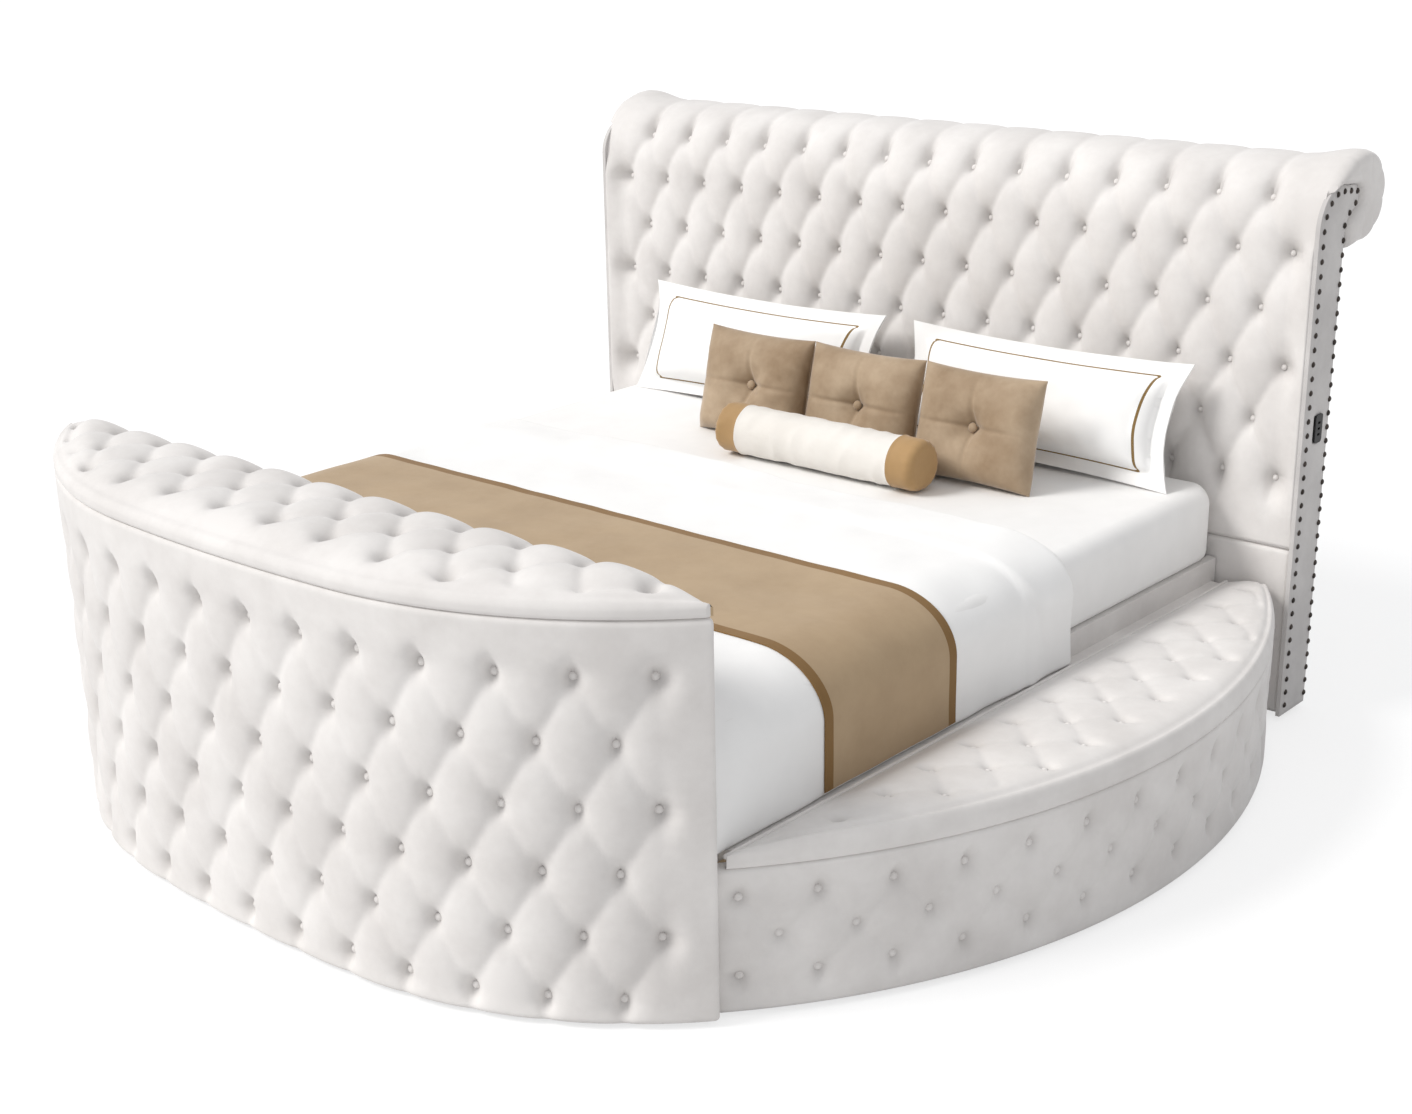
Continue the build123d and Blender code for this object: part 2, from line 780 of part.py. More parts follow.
def scroll_bar(radius):
    """The round bar through all the ribs at the middle of the roll."""
    return rod(radius, (-panel_inner_x, roll_y, roll_z), (panel_inner_x, roll_y, roll_z))


def scroll_sheet():
    """The bent skin over the ribs, under the padding of the scroll."""
    outer = headboard_tuft_depth + headboard_pad_base + scroll_skin_offset
    ring = head_profile.face(outer, front_arc_z, back_y)
    hollow = head_profile.face(outer + scroll_skin, front_arc_z - cut_overrun, back_y - cut_overrun)
    sheet = extrude(Pos(-panel_inner_x, 0, 0) * ring, amount=2 * panel_inner_x)
    cut_half = panel_inner_x + cut_overrun
    sheet -= extrude(Pos(-cut_half, 0, 0) * hollow, amount=2 * cut_half)
    across = (-panel_inner_x, panel_inner_x)
    keep = block(across, (crest_y, frame_y), (front_arc_z, roll_top))
    keep += block(across, (frame_y, roll_y + roll_radius), (roll_z, roll_top))
    keep += block(across, (roll_y, roll_y + roll_radius), (roll_under_z, roll_top))
    return (sheet & keep).solids().sort_by(SortBy.VOLUME)[-1]


# Footboard

def foot_place(length, height, level):
    """A point on the footboard's outer padding."""
    x, y = foot_outline.at(length - foot_outline.half, foot_tuft_depth - height)
    return x, y, level


def foot_rows_heights():
    """Levels of the footboard's button rows."""
    return even_rows(foot_first_row, foot_row_pitch, foot_seam_height - foot_top_margin)


def foot_lines():
    """Half-pitch lines round the footboard, the same from both ends."""
    half_pitch = foot_column_pitch / 2
    count = 2 * floor(((foot_outline.half - 2 * foot_edge_roll) / half_pitch + 1) / 2) - 1
    return [foot_outline.half + i * half_pitch for i in range(-count, count + 1)]


def footboard_tufting():
    """Diamond tufting round the footboard."""
    edges = (foot_height, foot_seam_height - seat_gap)
    return wall_tufting(foot_place, 2 * foot_outline.half, foot_lines(), foot_rows_heights(), edges,
                        foot_tuft_depth, foot_edge_roll, foot_pad_base)


def wall_button_places(place, lines, rows):
    """Pits of a wall's lattice, each with the direction that it faces."""
    places = []
    for length, level in lattice_pits(lines, rows):
        near, far = place(length, 0, level), place(length, 1, level)
        places.append((near, tuple(b - a for a, b in zip(near, far))))
    return places


def footboard_buttons():
    """Covered buttons round the footboard."""
    slope = foot_tuft_depth / (foot_column_pitch / 2)
    return group(buttons(slope, wall_button_places(foot_place, foot_lines(), foot_rows_heights())))


def footboard_outer_wall():
    """The curved plywood wall behind the tufting."""
    ring = foot_outline.face(foot_ply_inset, foot_wall_y) - foot_outline.face(foot_hollow_inset, foot_wall_y)
    return extrude(Pos(0, 0, foot_height) * ring, amount=foot_seam_height - seat_gap - foot_height)


def footboard_inner_wall():
    """The straight wall on the mattress side of the hollow."""
    reach = foot_outline.reach_at(foot_hollow_y, foot_hollow_inset) - seat_gap
    return block((-reach, reach), (foot_hollow_y, foot_wall_y), (foot_height, foot_seam_height - seat_gap))


def footboard_inner_pad():
    """Plain padding on the mattress side."""
    reach = foot_outline.reach_at(foot_wall_y, foot_hollow_inset)
    return block((-reach, reach), (foot_wall_y, inner_y), (foot_height, foot_seam_height - seat_gap))


def footboard_floor():
    """Floor of the footboard's hollow."""
    face = foot_outline.face(foot_hollow_inset + seat_gap, foot_hollow_y)
    return extrude(Pos(0, 0, foot_height) * face, amount=foot_floor)


def footboard_corner_blocks():
    """Timber blocks that join the curved wall to the straight one at the ends."""
    face = foot_outline.face(foot_hollow_inset + seat_gap, foot_hollow_y)
    reach = foot_outline.reach_at(foot_hollow_y, foot_hollow_inset)
    bottom = foot_height + foot_floor
    prism = extrude(Pos(0, 0, bottom) * face, amount=foot_seam_height - seat_gap - bottom)
    corner = prism & block((reach - foot_corner_block, reach + cut_overrun), (front_y, foot_hollow_y),
                           (bottom, foot_seam_height))
    return group(both_sides(corner))


def sine_rise(distance, width):
    """Rises from 0 to 1 over a width, level at its top."""
    return sin(pi / 2 * max(0, min(1, distance / width)))


def foot_lid_face(inset):
    """Plan of the footboard's lid board."""
    return foot_outline.face(inset, inner_y)


def foot_lid_board_part():
    """Plywood board of the footboard's lid."""
    return extrude(Pos(0, 0, foot_seam_height) * foot_lid_face(foot_lid_cover), amount=foot_lid_board)


def foot_lid_height(x, y):
    """Height of the lid's cushion over its seam at a place."""
    shoulder_out = foot_lid_outer_shoulder
    out = y - foot_outline.front_at(x, 0)
    back = inner_y - y
    end = foot_outline.half_reach - abs(x)
    edge = foot_lid_board + foot_lid_cover
    low = edge + (foot_lid_back - edge) * sine_rise(out, foot_depth)
    rise = sine_rise(out, shoulder_out) * sine_rise(back, foot_lid_inner_shoulder) ** 0.5
    return low + (foot_lid_crown - low) * rise * sine_rise(end, foot_lid_end_shoulder)


foot_outline.half_reach = foot_outline.reach_at(inner_y, 0)


def crown_block(point_at, bottom_at, s_count, u_count):
    """A crowned cushion: a grid of top points over a flat bottom of the same outline."""
    faces = []
    for i in range(s_count):
        for j in range(u_count):
            a, b, c, d = point_at(i, j), point_at(i + 1, j), point_at(i + 1, j + 1), point_at(i, j + 1)
            faces += [polygon([a, b, c]), polygon([a, c, d])]
    rim = [(i, 0) for i in range(s_count)] + [(s_count, j) for j in range(u_count)]
    rim += [(i, u_count) for i in range(s_count, 0, -1)] + [(0, j) for j in range(u_count, 0, -1)]
    faces.append(polygon([bottom_at(*mark) for mark in rim]))
    for a, b in zip(rim, rim[1:] + rim[:1]):
        faces.append(polygon([point_at(*a), point_at(*b), bottom_at(*b), bottom_at(*a)]))
    return Solid(Shell(faces))


across_shares = (0, 0.06, 0.16, 0.3, 0.5, 0.7, 0.84, 0.94, 1)


def lid_marks(low, high, count):
    """Even steps between two places."""
    return [low + (high - low) * i / count for i in range(count + 1)]


lid_steps = 24


def foot_lid_cushion():
    """Crowned, tufted cushion of the footboard's lid, down over the board's outer edge."""
    reach = foot_outline.half_reach - lid_tip_width
    marks = lid_marks(-reach, reach, lid_steps)

    def plan(i, j):
        x = marks[i]
        front = foot_outline.front_at(x, 0)
        return x, inner_y + (front - inner_y) * across_shares[j]

    def top(i, j):
        x, y = plan(i, j)
        return x, y, foot_seam_height + foot_lid_height(x, y)

    def bottom(i, j):
        return *plan(i, j), foot_seam_height

    cushion = crown_block(top, bottom, lid_steps, len(across_shares) - 1) - foot_lid_board_part()
    pits = [tuft_pit((x, y, foot_seam_height + foot_lid_height(x, y))) for x, y in foot_lid_lattice()]
    return (cushion - pits).solids().sort_by(SortBy.VOLUME)[-1]


def tuft_pit(point):
    """A cone-shaped pit that opens upwards, its bottom below the point."""
    upright = (Align.CENTER, Align.CENTER, Align.MIN)
    pit = Cone(button_neck_radius, 2 * lid_tuft_radius, 2 * lid_tuft_depth, align=upright)
    return Pos(point[0], point[1], point[2] - lid_tuft_depth) * pit


def foot_lid_lattice():
    """Places of the lid's buttons: rows along the lid, each shifted by half a pitch."""
    places = []
    for row in range(foot_lid_button_rows):
        y = inner_y - foot_lid_first_row - row * foot_lid_row_pitch
        shift = foot_lid_column_pitch / 2 * ((row + 1) % 2)
        count = ceil(foot_half_width / foot_lid_column_pitch)
        for i in range(-count, count + 1):
            x = i * foot_lid_column_pitch + shift
            if abs(x) < foot_outline.half_reach - foot_lid_end_shoulder / 2:
                if y - foot_outline.front_at(x, 0) > foot_lid_button_margin:
                    places.append((x, y))
    return places


def foot_lid_buttons():
    """Covered buttons of the footboard's lid."""
    slope = lid_tuft_depth / lid_tuft_radius
    bottoms = [((x, y, foot_seam_height + foot_lid_height(x, y) - lid_tuft_depth), (0, 0, 1))
               for x, y in foot_lid_lattice()]
    return group(buttons(slope, bottoms))


# Benches, modelled on the right side

def bench_place(length, height, level):
    """A point on the bench's outer padding."""
    return *bench_outline.at(length, bench_low_radius + height), level


def bench_lines():
    """Half-pitch lines round the bench from its foot end."""
    return lattice_lines(bench_first_button, bench_column_pitch, bench_outline.length, 2 * bench_edge_roll)


def bench_row_heights():
    """Levels of the bench's button rows."""
    return even_rows(bench_first_row, bench_row_pitch, bench_seam_height - bench_top_margin)


def bench_tufting():
    """Diamond tufting round the bench."""
    edges = (foot_height, bench_seam_height - seat_gap)
    return wall_tufting(bench_place, bench_outline.length, bench_lines(), bench_row_heights(), edges,
                        bench_tuft_depth, bench_edge_roll, bench_pad_base)


def bench_buttons():
    """Covered buttons of one bench wall."""
    slope = bench_tuft_depth / (bench_column_pitch / 2)
    return group(buttons(slope, wall_button_places(bench_place, bench_lines(), bench_row_heights())))


def bench_wall_part():
    """The curved plywood wall of the bench."""
    head = bench_head_y - bench_end_panel - seat_gap
    ring = bench_outline.area(bench_ply_radius, bench_hollow_x + seat_gap, head)
    ring -= bench_outline.area(bench_wall_inner_radius, bench_hollow_x - cut_overrun, head + cut_overrun)
    return extrude(Pos(0, 0, foot_height) * ring, amount=bench_seam_height - seat_gap - foot_height)


def bench_floor_part():
    """Plywood floor of the bench's hollow."""
    area = bench_outline.area(bench_wall_inner_radius - seat_gap, bench_hollow_x,
                              bench_head_y - bench_end_panel - seat_gap)
    return extrude(Pos(0, 0, foot_height) * area, amount=bench_floor)


def bench_inner_panel_part():
    """The bench's straight panel against the bed's side rail."""
    along = (bench_foot_y, bench_head_y)
    return block((bench_inner_x, bench_hollow_x), along, (foot_height, hinge_rail_bottom))


def bench_end_panel_part():
    """The bench's panel at the headboard."""
    head = (bench_head_y - bench_end_panel, bench_head_y)
    reach = bench_outline.reach_at(head[1], bench_ply_radius)
    return block((bench_hollow_x, reach), head, (foot_height, bench_seam_height - seat_gap))


def hinge_rail():
    """The fixed strip along the bed's side that the lid is hinged to."""
    head = bench_head_y - bench_end_panel
    strip = block((bench_inner_x, hinge_rail_x), (bench_foot_y, head), (hinge_rail_bottom, lid_board_top))
    limit = Pos(bench_centre_x, bench_centre_y, hinge_rail_bottom) * Cylinder(
        bench_wall_inner_radius - seat_gap, 2 * hinge_rail_height)
    return strip & limit


def lid_board_part():
    """Plywood board of a bench lid."""
    area = bench_outline.area(bench_radius - lid_cover, lid_inner_x, lid_head_y - lid_cover)
    return extrude(Pos(0, 0, lid_bottom) * area, amount=lid_board)


def lid_height(x, y):
    """Height of the lid's cushion over its board at a place."""
    inward = x - lid_pad_x
    out = bench_outline.reach_at(y, bench_radius) - x
    head = lid_head_y - y
    low = lid_inner_rise + (lid_outer_rise - lid_inner_rise) * inward / (inward + out)
    rise = sine_rise(inward, lid_inner_shoulder) * sine_rise(out, lid_outer_shoulder) ** 0.6
    return low + (lid_crown - low) * rise * sine_rise(head + lid_cover, lid_end_shoulder) ** 0.5


def lid_cushion():
    """Crowned, tufted cushion of a bench lid, down over the board's outer edge."""
    foot = bench_outline.foot_at(lid_pad_x + lid_tip_width, bench_radius)
    marks = lid_marks(foot, lid_head_y, lid_steps)

    def plan(i, j):
        y = marks[i]
        reach = bench_outline.reach_at(y, bench_radius)
        return lid_pad_x + (reach - lid_pad_x) * across_shares[j], y

    def top(i, j):
        x, y = plan(i, j)
        return x, y, lid_board_top + lid_height(x, y)

    def bottom(i, j):
        return *plan(i, j), lid_bottom

    cushion = crown_block(top, bottom, lid_steps, len(across_shares) - 1) - lid_board_part()
    pits = [tuft_pit((x, y, lid_board_top + lid_height(x, y))) for x, y in lid_lattice()]
    return (cushion - pits).solids().sort_by(SortBy.VOLUME)[-1]


def lid_lattice():
    """Places of a bench lid's buttons: rows along the bed, each shifted by half a pitch."""
    places = []
    count = ceil(bench_radius / lid_column_pitch)
    for row in range(lid_button_rows):
        x = hinge_axis_x + lid_first_row + row * lid_row_pitch
        shift = lid_column_pitch / 2 * (row % 2)
        for i in range(-count, count + 1):
            y = i * lid_column_pitch + shift
            first = bench_outline.foot_at(x, bench_radius - lid_button_margin)
            inside = first < y < lid_head_y - lid_button_margin
            if inside and bench_outline.reach_at(y, bench_radius) - x > lid_button_margin:
                places.append((x, y))
    return places


def lid_buttons():
    """Covered buttons of one bench lid."""
    slope = lid_tuft_depth / lid_tuft_radius
    low = lid_board_top - lid_tuft_depth
    bottoms = [((x, y, low + lid_height(x, y)), (0, 0, 1)) for x, y in lid_lattice()]
    return group(buttons(slope, bottoms))


# Hinges, modelled with the pin along X at the origin, the fixed leaf down on +Y and the lid's on -Y

def hinge_parts(opened):
    """Fixed leaf, lid leaf and pin of one butt hinge, pin along X: folded down, or opened flat."""
    third = hinge_length / 3
    bore = rod(hinge_pin_radius + hinge_running_gap, (-hinge_length, 0, 0), (hinge_length, 0, 0))

    def knuckle(low, high):
        return rod(hinge_knuckle_radius, (low, 0, 0), (high, 0, 0))

    def leaf(across, way):
        levels = sorted((0, way * (hinge_knuckle_radius + hinge_leaf_height)))
        return block((-hinge_length / 2, hinge_length / 2), across, levels)

    if opened:
        flat = (-hinge_knuckle_radius, hinge_leaf - hinge_knuckle_radius)
        fixed_leaf, moving_leaf = leaf(flat, -1), leaf(flat, 1)
    else:
        near = hinge_leaf_gap / 2
        fixed_leaf, moving_leaf = leaf((near, leaf_offset), -1), leaf((-leaf_offset, -near), -1)
    inner = third / 2
    outer = hinge_length / 2
    gap = hinge_knuckle_gap / 2
    clear = (-hinge_knuckle_radius - gap, hinge_knuckle_radius + gap)
    slot_middle = block((-inner - gap, inner + gap), clear, clear)
    slot_ends = [block(span, clear, clear) for span in ((-outer, -inner + gap), (inner - gap, outer))]
    fixed = fixed_leaf - slot_middle + knuckle(-outer, -inner - gap) + knuckle(inner + gap, outer)
    moving = moving_leaf - slot_ends + knuckle(-inner + gap, inner - gap)
    pin = rod(hinge_pin_radius, (-outer, 0, 0), (outer, 0, 0))
    heads = [rod(hinge_pin_head_radius, (side * outer, 0, 0), (side * (outer + hinge_pin_head), 0, 0))
             for side in (-1, 1)]
    return fixed - bore, moving - bore, pin + heads


def hinge_places():
    """Where the hinges stand: on the footboard, the right bench and the left bench."""
    offsets = [(i - (hinge_count - 1) / 2) * hinge_spacing for i in range(hinge_count)]
    foot = [Pos(x, foot_hinge_y, foot_hinge_z) for x in offsets]
    right = [Pos(hinge_axis_x, y, hinge_axis_z) * Rot(0, 0, 90) for y in offsets]
    left = [Pos(-hinge_axis_x, y, hinge_axis_z) * Rot(0, 0, -90) for y in offsets]
    return foot, right, left


# Platform

def rail_span():
    """The bed rails' reach between the footboard and the headboard."""
    return inner_y + seat_gap, crest_y - headboard_lower_set_back - seat_gap


def side_rails():
    """The two side rails under the mattress's edges."""
    rail = block((mattress_half - side_rail, mattress_half), rail_span(), (side_rail_bottom, deck_height))
    return group(both_sides(rail - bolt_holes()))


def ledgers():
    """Battens inside the rails that carry the slats."""
    top = deck_height - slat_thickness
    outer = mattress_half - side_rail
    first, last = rail_span()
    clear = bracket_leg + bracket_thickness
    batten = block((outer - ledger_width, outer), (first + clear, last - clear), (top - ledger_height, top))
    return group(both_sides(batten))


def slats():
    """Slats across the bed, on the ledgers and the beam."""
    top = deck_height - slat_thickness
    half = mattress_half - side_rail - slat_end_gap
    first, last = rail_span()
    margin = bracket_leg + bracket_thickness + slat_width / 2
    pitch = (last - first - 2 * margin) / (slat_count - 1)
    centres = [first + margin + i * pitch for i in range(slat_count)]
    spans = [(y - slat_width / 2, y + slat_width / 2) for y in centres]
    return group([block((-half, half), span, (top, deck_height)) for span in spans])


def centre_beam():
    """Beam under the slats' middle."""
    top = deck_height - slat_thickness
    return block((-beam_width / 2, beam_width / 2), rail_span(), (top - beam_height, top))


def beam_legs():
    """Legs from the beam to the floor."""
    top = deck_height - slat_thickness - beam_height
    first, last = rail_span()
    pitch = (last - first) / (beam_leg_count + 1)
    return group([rod(beam_leg_radius, (0, first + (i + 1) * pitch, 0), (0, first + (i + 1) * pitch, top))
                  for i in range(beam_leg_count)])


def bracket_level():
    """Middle height of the rail brackets, below the ledgers."""
    return (side_rail_bottom + deck_height - slat_thickness - ledger_height) / 2


def bolt_line(radius, start_x, end_x):
    """Round bars across the right rail at every bolt."""
    first, last = rail_span()
    return [rod(radius, (start_x, y, bracket_level() + side * bolt_spacing / 2),
                (end_x, y, bracket_level() + side * bolt_spacing / 2))
            for y in (first + bracket_leg / 2, last - bracket_leg / 2) for side in (-1, 1)]


def bolt_holes():
    """Clearance holes for the bolts."""
    return bolt_line(bolt_radius + seat_gap, mattress_half - cut_overrun, bracket_face_x + bolt_hole_reach)


def rail_brackets():
    """Steel angles that hold the rails to the footboard and the headboard."""
    x = mattress_half - side_rail
    height = (bracket_level() - bracket_height / 2, bracket_level() + bracket_height / 2)
    shapes = []
    for y, way in zip(rail_span(), (1, -1)):
        along = sorted((y, y + way * bracket_leg))
        across = sorted((y, y + way * bracket_thickness))
        angle = block((bracket_face_x, x), along, height) + block((x - bracket_leg, x), across, height)
        shapes += both_sides(angle - bolt_holes())
    return group(shapes)


def rail_bolts():
    """Bolts through the brackets into the rails."""
    reach = bracket_face_x + bolt_reach
    shanks = bolt_line(bolt_radius, bracket_face_x, reach)
    heads = bolt_line(bolt_head_radius, bracket_face_x - bolt_head, bracket_face_x)
    return group([part for shank, head in zip(shanks, heads) for part in both_sides(shank + head)])


glide_length_shares = (0.08, 0.36, 0.64, 0.92)
glide_reach_shares = (0.25, 0.7)


def glides():
    """Low round feet under the benches, the footboard and the headboard."""
    inset = bench_back_radius - bench_wall - 2 * foot_radius
    spots = [bench_outline.at(share * bench_outline.length, inset) for share in glide_length_shares]
    for share in glide_reach_shares:
        x = share * foot_half_width
        spots.append((x, foot_outline.front_at(x, foot_hollow_inset + 2 * foot_radius)))
    spots.append((panel_inner_x - headboard_post / 2, (frame_y + back_board_y) / 2))
    feet = [rod(foot_radius, (x, y, 0), (x, y, foot_height)) for x, y in spots]
    return group([part for foot in feet for part in both_sides(foot)])


# Bedding

def mattress():
    """The mattress with its rounded corners and edges."""
    centre_y = (mattress_foot_y + mattress_head_y) / 2
    area = Pos(0, centre_y, deck_height) * RectangleRounded(mattress_width, mattress_length, mattress_corner)
    body = extrude(area, amount=mattress_height)
    edges = body.faces().sort_by(Axis.Z)[0].edges() + body.faces().sort_by(Axis.Z)[-1].edges()
    return fillet(edges, mattress_edge)


def drape_face(inner_half, outer_half, under, top, hem, shoulder):
    """Section of a cloth laid over the bed and hanging at both sides."""
    wall = outer_half - inner_half
    outer = [(-outer_half, hem), (-outer_half, top), (outer_half, top), (outer_half, hem)]
    inner = [(inner_half, hem), (inner_half, under), (-inner_half, under), (-inner_half, hem)]
    outside = FilletPolyline(*outer, radius=[shoulder, shoulder])
    inside = FilletPolyline(*inner, radius=[shoulder - wall, shoulder - wall])
    edges = [*outside.edges(), Line(outside @ 1, inside @ 0), *inside.edges(), Line(inside @ 1, outside @ 0)]
    return make_face(Curve() + edges)


def drape(face, foot, head):
    """A draped section drawn along the bed."""
    plane = Plane(origin=(0, head, 0), x_dir=(1, 0, 0), z_dir=(0, -1, 0))
    return extrude(plane * face, amount=head - foot)


duvet_inner = mattress_half + bedding_gap
duvet_outer = duvet_inner + duvet_side
duvet_under = mattress_top + bedding_gap
duvet_top = duvet_under + duvet_thickness


def duvet():
    """The duvet, thicker where its head end is folded back."""
    foot = mattress_foot_y + duvet_foot_inset
    face = drape_face(duvet_inner, duvet_outer, duvet_under, duvet_top, duvet_hem_height, duvet_shoulder)
    body = drape(face, foot, duvet_head)
    fold_half = duvet_outer - duvet_shoulder
    fold_start = (-fold_half, duvet_head - duvet_fold, duvet_top)
    fold_plane = Plane(origin=fold_start, x_dir=(0, 1, 0), z_dir=(1, 0, 0))
    rise = duvet_fold_thickness
    outline = Polyline((0, 0), (rise, rise), (duvet_fold - rise, rise), (duvet_fold, 0), close=True)
    return body + extrude(fold_plane * make_face(outline), amount=2 * fold_half)


def runner():
    """The narrow cloth across the duvet, hanging at both sides."""
    inner = duvet_outer + bedding_gap
    under = duvet_top + bedding_gap
    face = drape_face(inner, inner + runner_thickness, under, under + runner_thickness, duvet_hem_height,
                      duvet_shoulder + runner_thickness)
    return drape(face, runner_foot, runner_foot + runner_width)


def pillow(width, height, thickness, dimple):
    """A filled pillow standing on its lower edge: crowned faces, drawn-in sides, an optional button pit."""
    steps = 10
    draw_in_share = 0.05
    shares = [2 * i / steps - 1 for i in range(steps + 1)]

    def at(i, j, side):
        u, v = shares[i], shares[j]
        x = width / 2 * u * (1 - draw_in_share * (1 - v * v))
        z = height / 2 * v * (1 - draw_in_share * (1 - u * u)) + height / 2
        swell = ((1 - u ** 4) * (1 - v ** 4)) ** 0.5
        pit = dimple * max(0, 1 - 2 * hypot(u, v))
        return x, side * (thickness / 2 * swell - pit), z

    faces = []
    for side in (-1, 1):
        for i in range(steps):
            for j in range(steps):
                a, b, c, d = at(i, j, side), at(i + 1, j, side), at(i + 1, j + 1, side), at(i, j + 1, side)
                centre = tuple(sum(p[n] for p in (a, b, c, d)) / 4 for n in range(3))
                faces += [polygon([p, q, centre]) for p, q in ((a, b), (b, c), (c, d), (d, a))]
    return Solid(Shell(faces))


def leaning(shape, x, y, lean):
    """A pillow set on the mattress and leaned back towards the headboard."""
    return Pos(x, y, mattress_top + bedding_gap) * Rot(-lean, 0, 0) * shape


def sleeping_pillow(side):
    """A large pillow against the headboard."""
    shape = pillow(pillow_width, pillow_height, pillow_thickness, 0)
    return leaning(shape, side * pillow_centre_x, pillow_base_y, pillow_lean_degrees)


def velvet_cushions():
    """Three square cushions in front of the pillows, each drawn in at its middle."""
    shape = pillow(velvet_width, velvet_height, velvet_thickness, velvet_dimple)
    return group([leaning(shape, velvet_centre_x + i * velvet_spacing, velvet_base_y, velvet_lean_degrees)
                  for i in (-1, 0, 1)])


def velvet_buttons():
    """The button at the middle of each square cushion."""
    slope = 6 * velvet_dimple / velvet_height
    front = -velvet_thickness / 2 + velvet_dimple - button_seat
    button = Plane(origin=(0, front, velvet_height / 2), z_dir=(0, -1, 0)).location * covered_button(slope)
    return group([leaning(button, velvet_centre_x + i * velvet_spacing, velvet_base_y, velvet_lean_degrees)
                  for i in (-1, 0, 1)])


def bolster():
    """The round bolster in front of the cushions."""
    half = bolster_length / 2
    z = mattress_top + bedding_gap + bolster_radius
    ends = (velvet_centre_x - half, bolster_y, z), (velvet_centre_x + half, bolster_y, z)
    return fillet(rod(bolster_radius, *ends).edges().filter_by(GeomType.CIRCLE), bolster_round)


def make_parts():
    """Every sub-part by name."""
    parts = {
        "headboard_posts": headboard_posts(),
        "headboard_rails": headboard_rails(),
        "headboard_front_board": block((-panel_inner_x, panel_inner_x), (board_y, frame_y),
                                       (headboard_bottom, front_arc_z)),
        "headboard_back_board": block((-panel_inner_x, panel_inner_x), (back_board_y, back_y),
                                      (headboard_bottom, roll_under_z)),
        "headboard_scroll_ribs": scroll_ribs(),
        "headboard_scroll_bar": scroll_bar(scroll_bar_radius),
        "headboard_scroll_skin": scroll_sheet(),
        "headboard_tufting": headboard_tufting(),
        "headboard_lower_pad": headboard_lower_pad(),
        "headboard_buttons": headboard_buttons(),
        "headboard_roll_caps": group(both_sides(roll_cap())),
        "headboard_end_panels": group([headboard_end_panel(True), mirrored(headboard_end_panel(False))]),
        "nailheads": group(both_sides(nailheads())),
        "socket_plate": socket_plate(),
        "socket_body": socket_body(),
        "footboard_tufting": footboard_tufting(),
        "footboard_buttons": footboard_buttons(),
        "footboard_outer_wall": footboard_outer_wall(),
        "footboard_inner_wall": footboard_inner_wall(),
        "footboard_inner_pad": footboard_inner_pad(),
        "footboard_floor": footboard_floor(),
        "footboard_corner_blocks": footboard_corner_blocks(),
        "foot_lid_board": foot_lid_board_part(),
        "foot_lid_cushion": foot_lid_cushion(),
        "foot_lid_buttons": foot_lid_buttons(),
        "bench_wall_buttons": group(both_sides(bench_buttons())),
        "bench_walls": group(both_sides(bench_wall_part())),
        "bench_inner_panels": group(both_sides(bench_inner_panel_part())),
        "bench_end_panels": group(both_sides(bench_end_panel_part())),
        "bench_floors": group(both_sides(bench_floor_part())),
        "hinge_rails": group(both_sides(hinge_rail())),
        "side_rails": side_rails(),
        "slat_ledgers": ledgers(),
        "slats": slats(),
        "centre_beam": centre_beam(),
        "beam_legs": beam_legs(),
        "rail_brackets": rail_brackets(),
        "rail_bolts": rail_bolts(),
        "feet": glides(),
        "mattress": mattress(),
        "duvet": duvet(),
        "runner": runner(),
        "right_pillow": sleeping_pillow(1),
        "left_pillow": sleeping_pillow(-1),
        "velvet_cushions": velvet_cushions(),
        "velvet_buttons": velvet_buttons(),
        "bolster": bolster(),
    }
    bench = {
        "bench_tufting": bench_tufting(),
        "lid_board": lid_board_part(),
        "lid_cushion": lid_cushion(),
        "lid_buttons": lid_buttons(),
    }
    for name, shape in bench.items():
        parts["right_" + name] = shape
        parts["left_" + name] = mirrored(shape)
    fixed, moving, pin = hinge_parts(False)
    foot_fixed, foot_moving, _ = hinge_parts(True)
    foot, right, left = hinge_places()
    fixed_leaves = [place * foot_fixed for place in foot] + [place * fixed for place in right + left]
    parts["hinge_fixed_leaves"] = group(fixed_leaves)
    parts["hinge_pins"] = group([place * pin for place in foot + right + left])
    parts["foot_lid_hinge_leaves"] = group([place * foot_moving for place in foot])
    for name, places in (("right_lid", right), ("left_lid", left)):
        parts[name + "_hinge_leaves"] = group([place * moving for place in places])
    return parts


os.makedirs("parts", exist_ok=True)
for part_name, part_shape in make_parts().items():
    export_step(part_shape, f"parts/{part_name}.step")
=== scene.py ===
"""Looks of the round bed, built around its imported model.

Every piece is a surface worked out with numpy from the bed's sizes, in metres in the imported
model's frame: X across the bed, Y towards the headboard and Z up from the floor.
"""

from __future__ import annotations

import json
import logging
import math
from dataclasses import dataclass
from enum import Enum
from functools import cached_property
from typing import Callable

import bpy
import numpy as np
from mathutils import Matrix, Vector
from mathutils.geometry import delaunay_2d_cdt

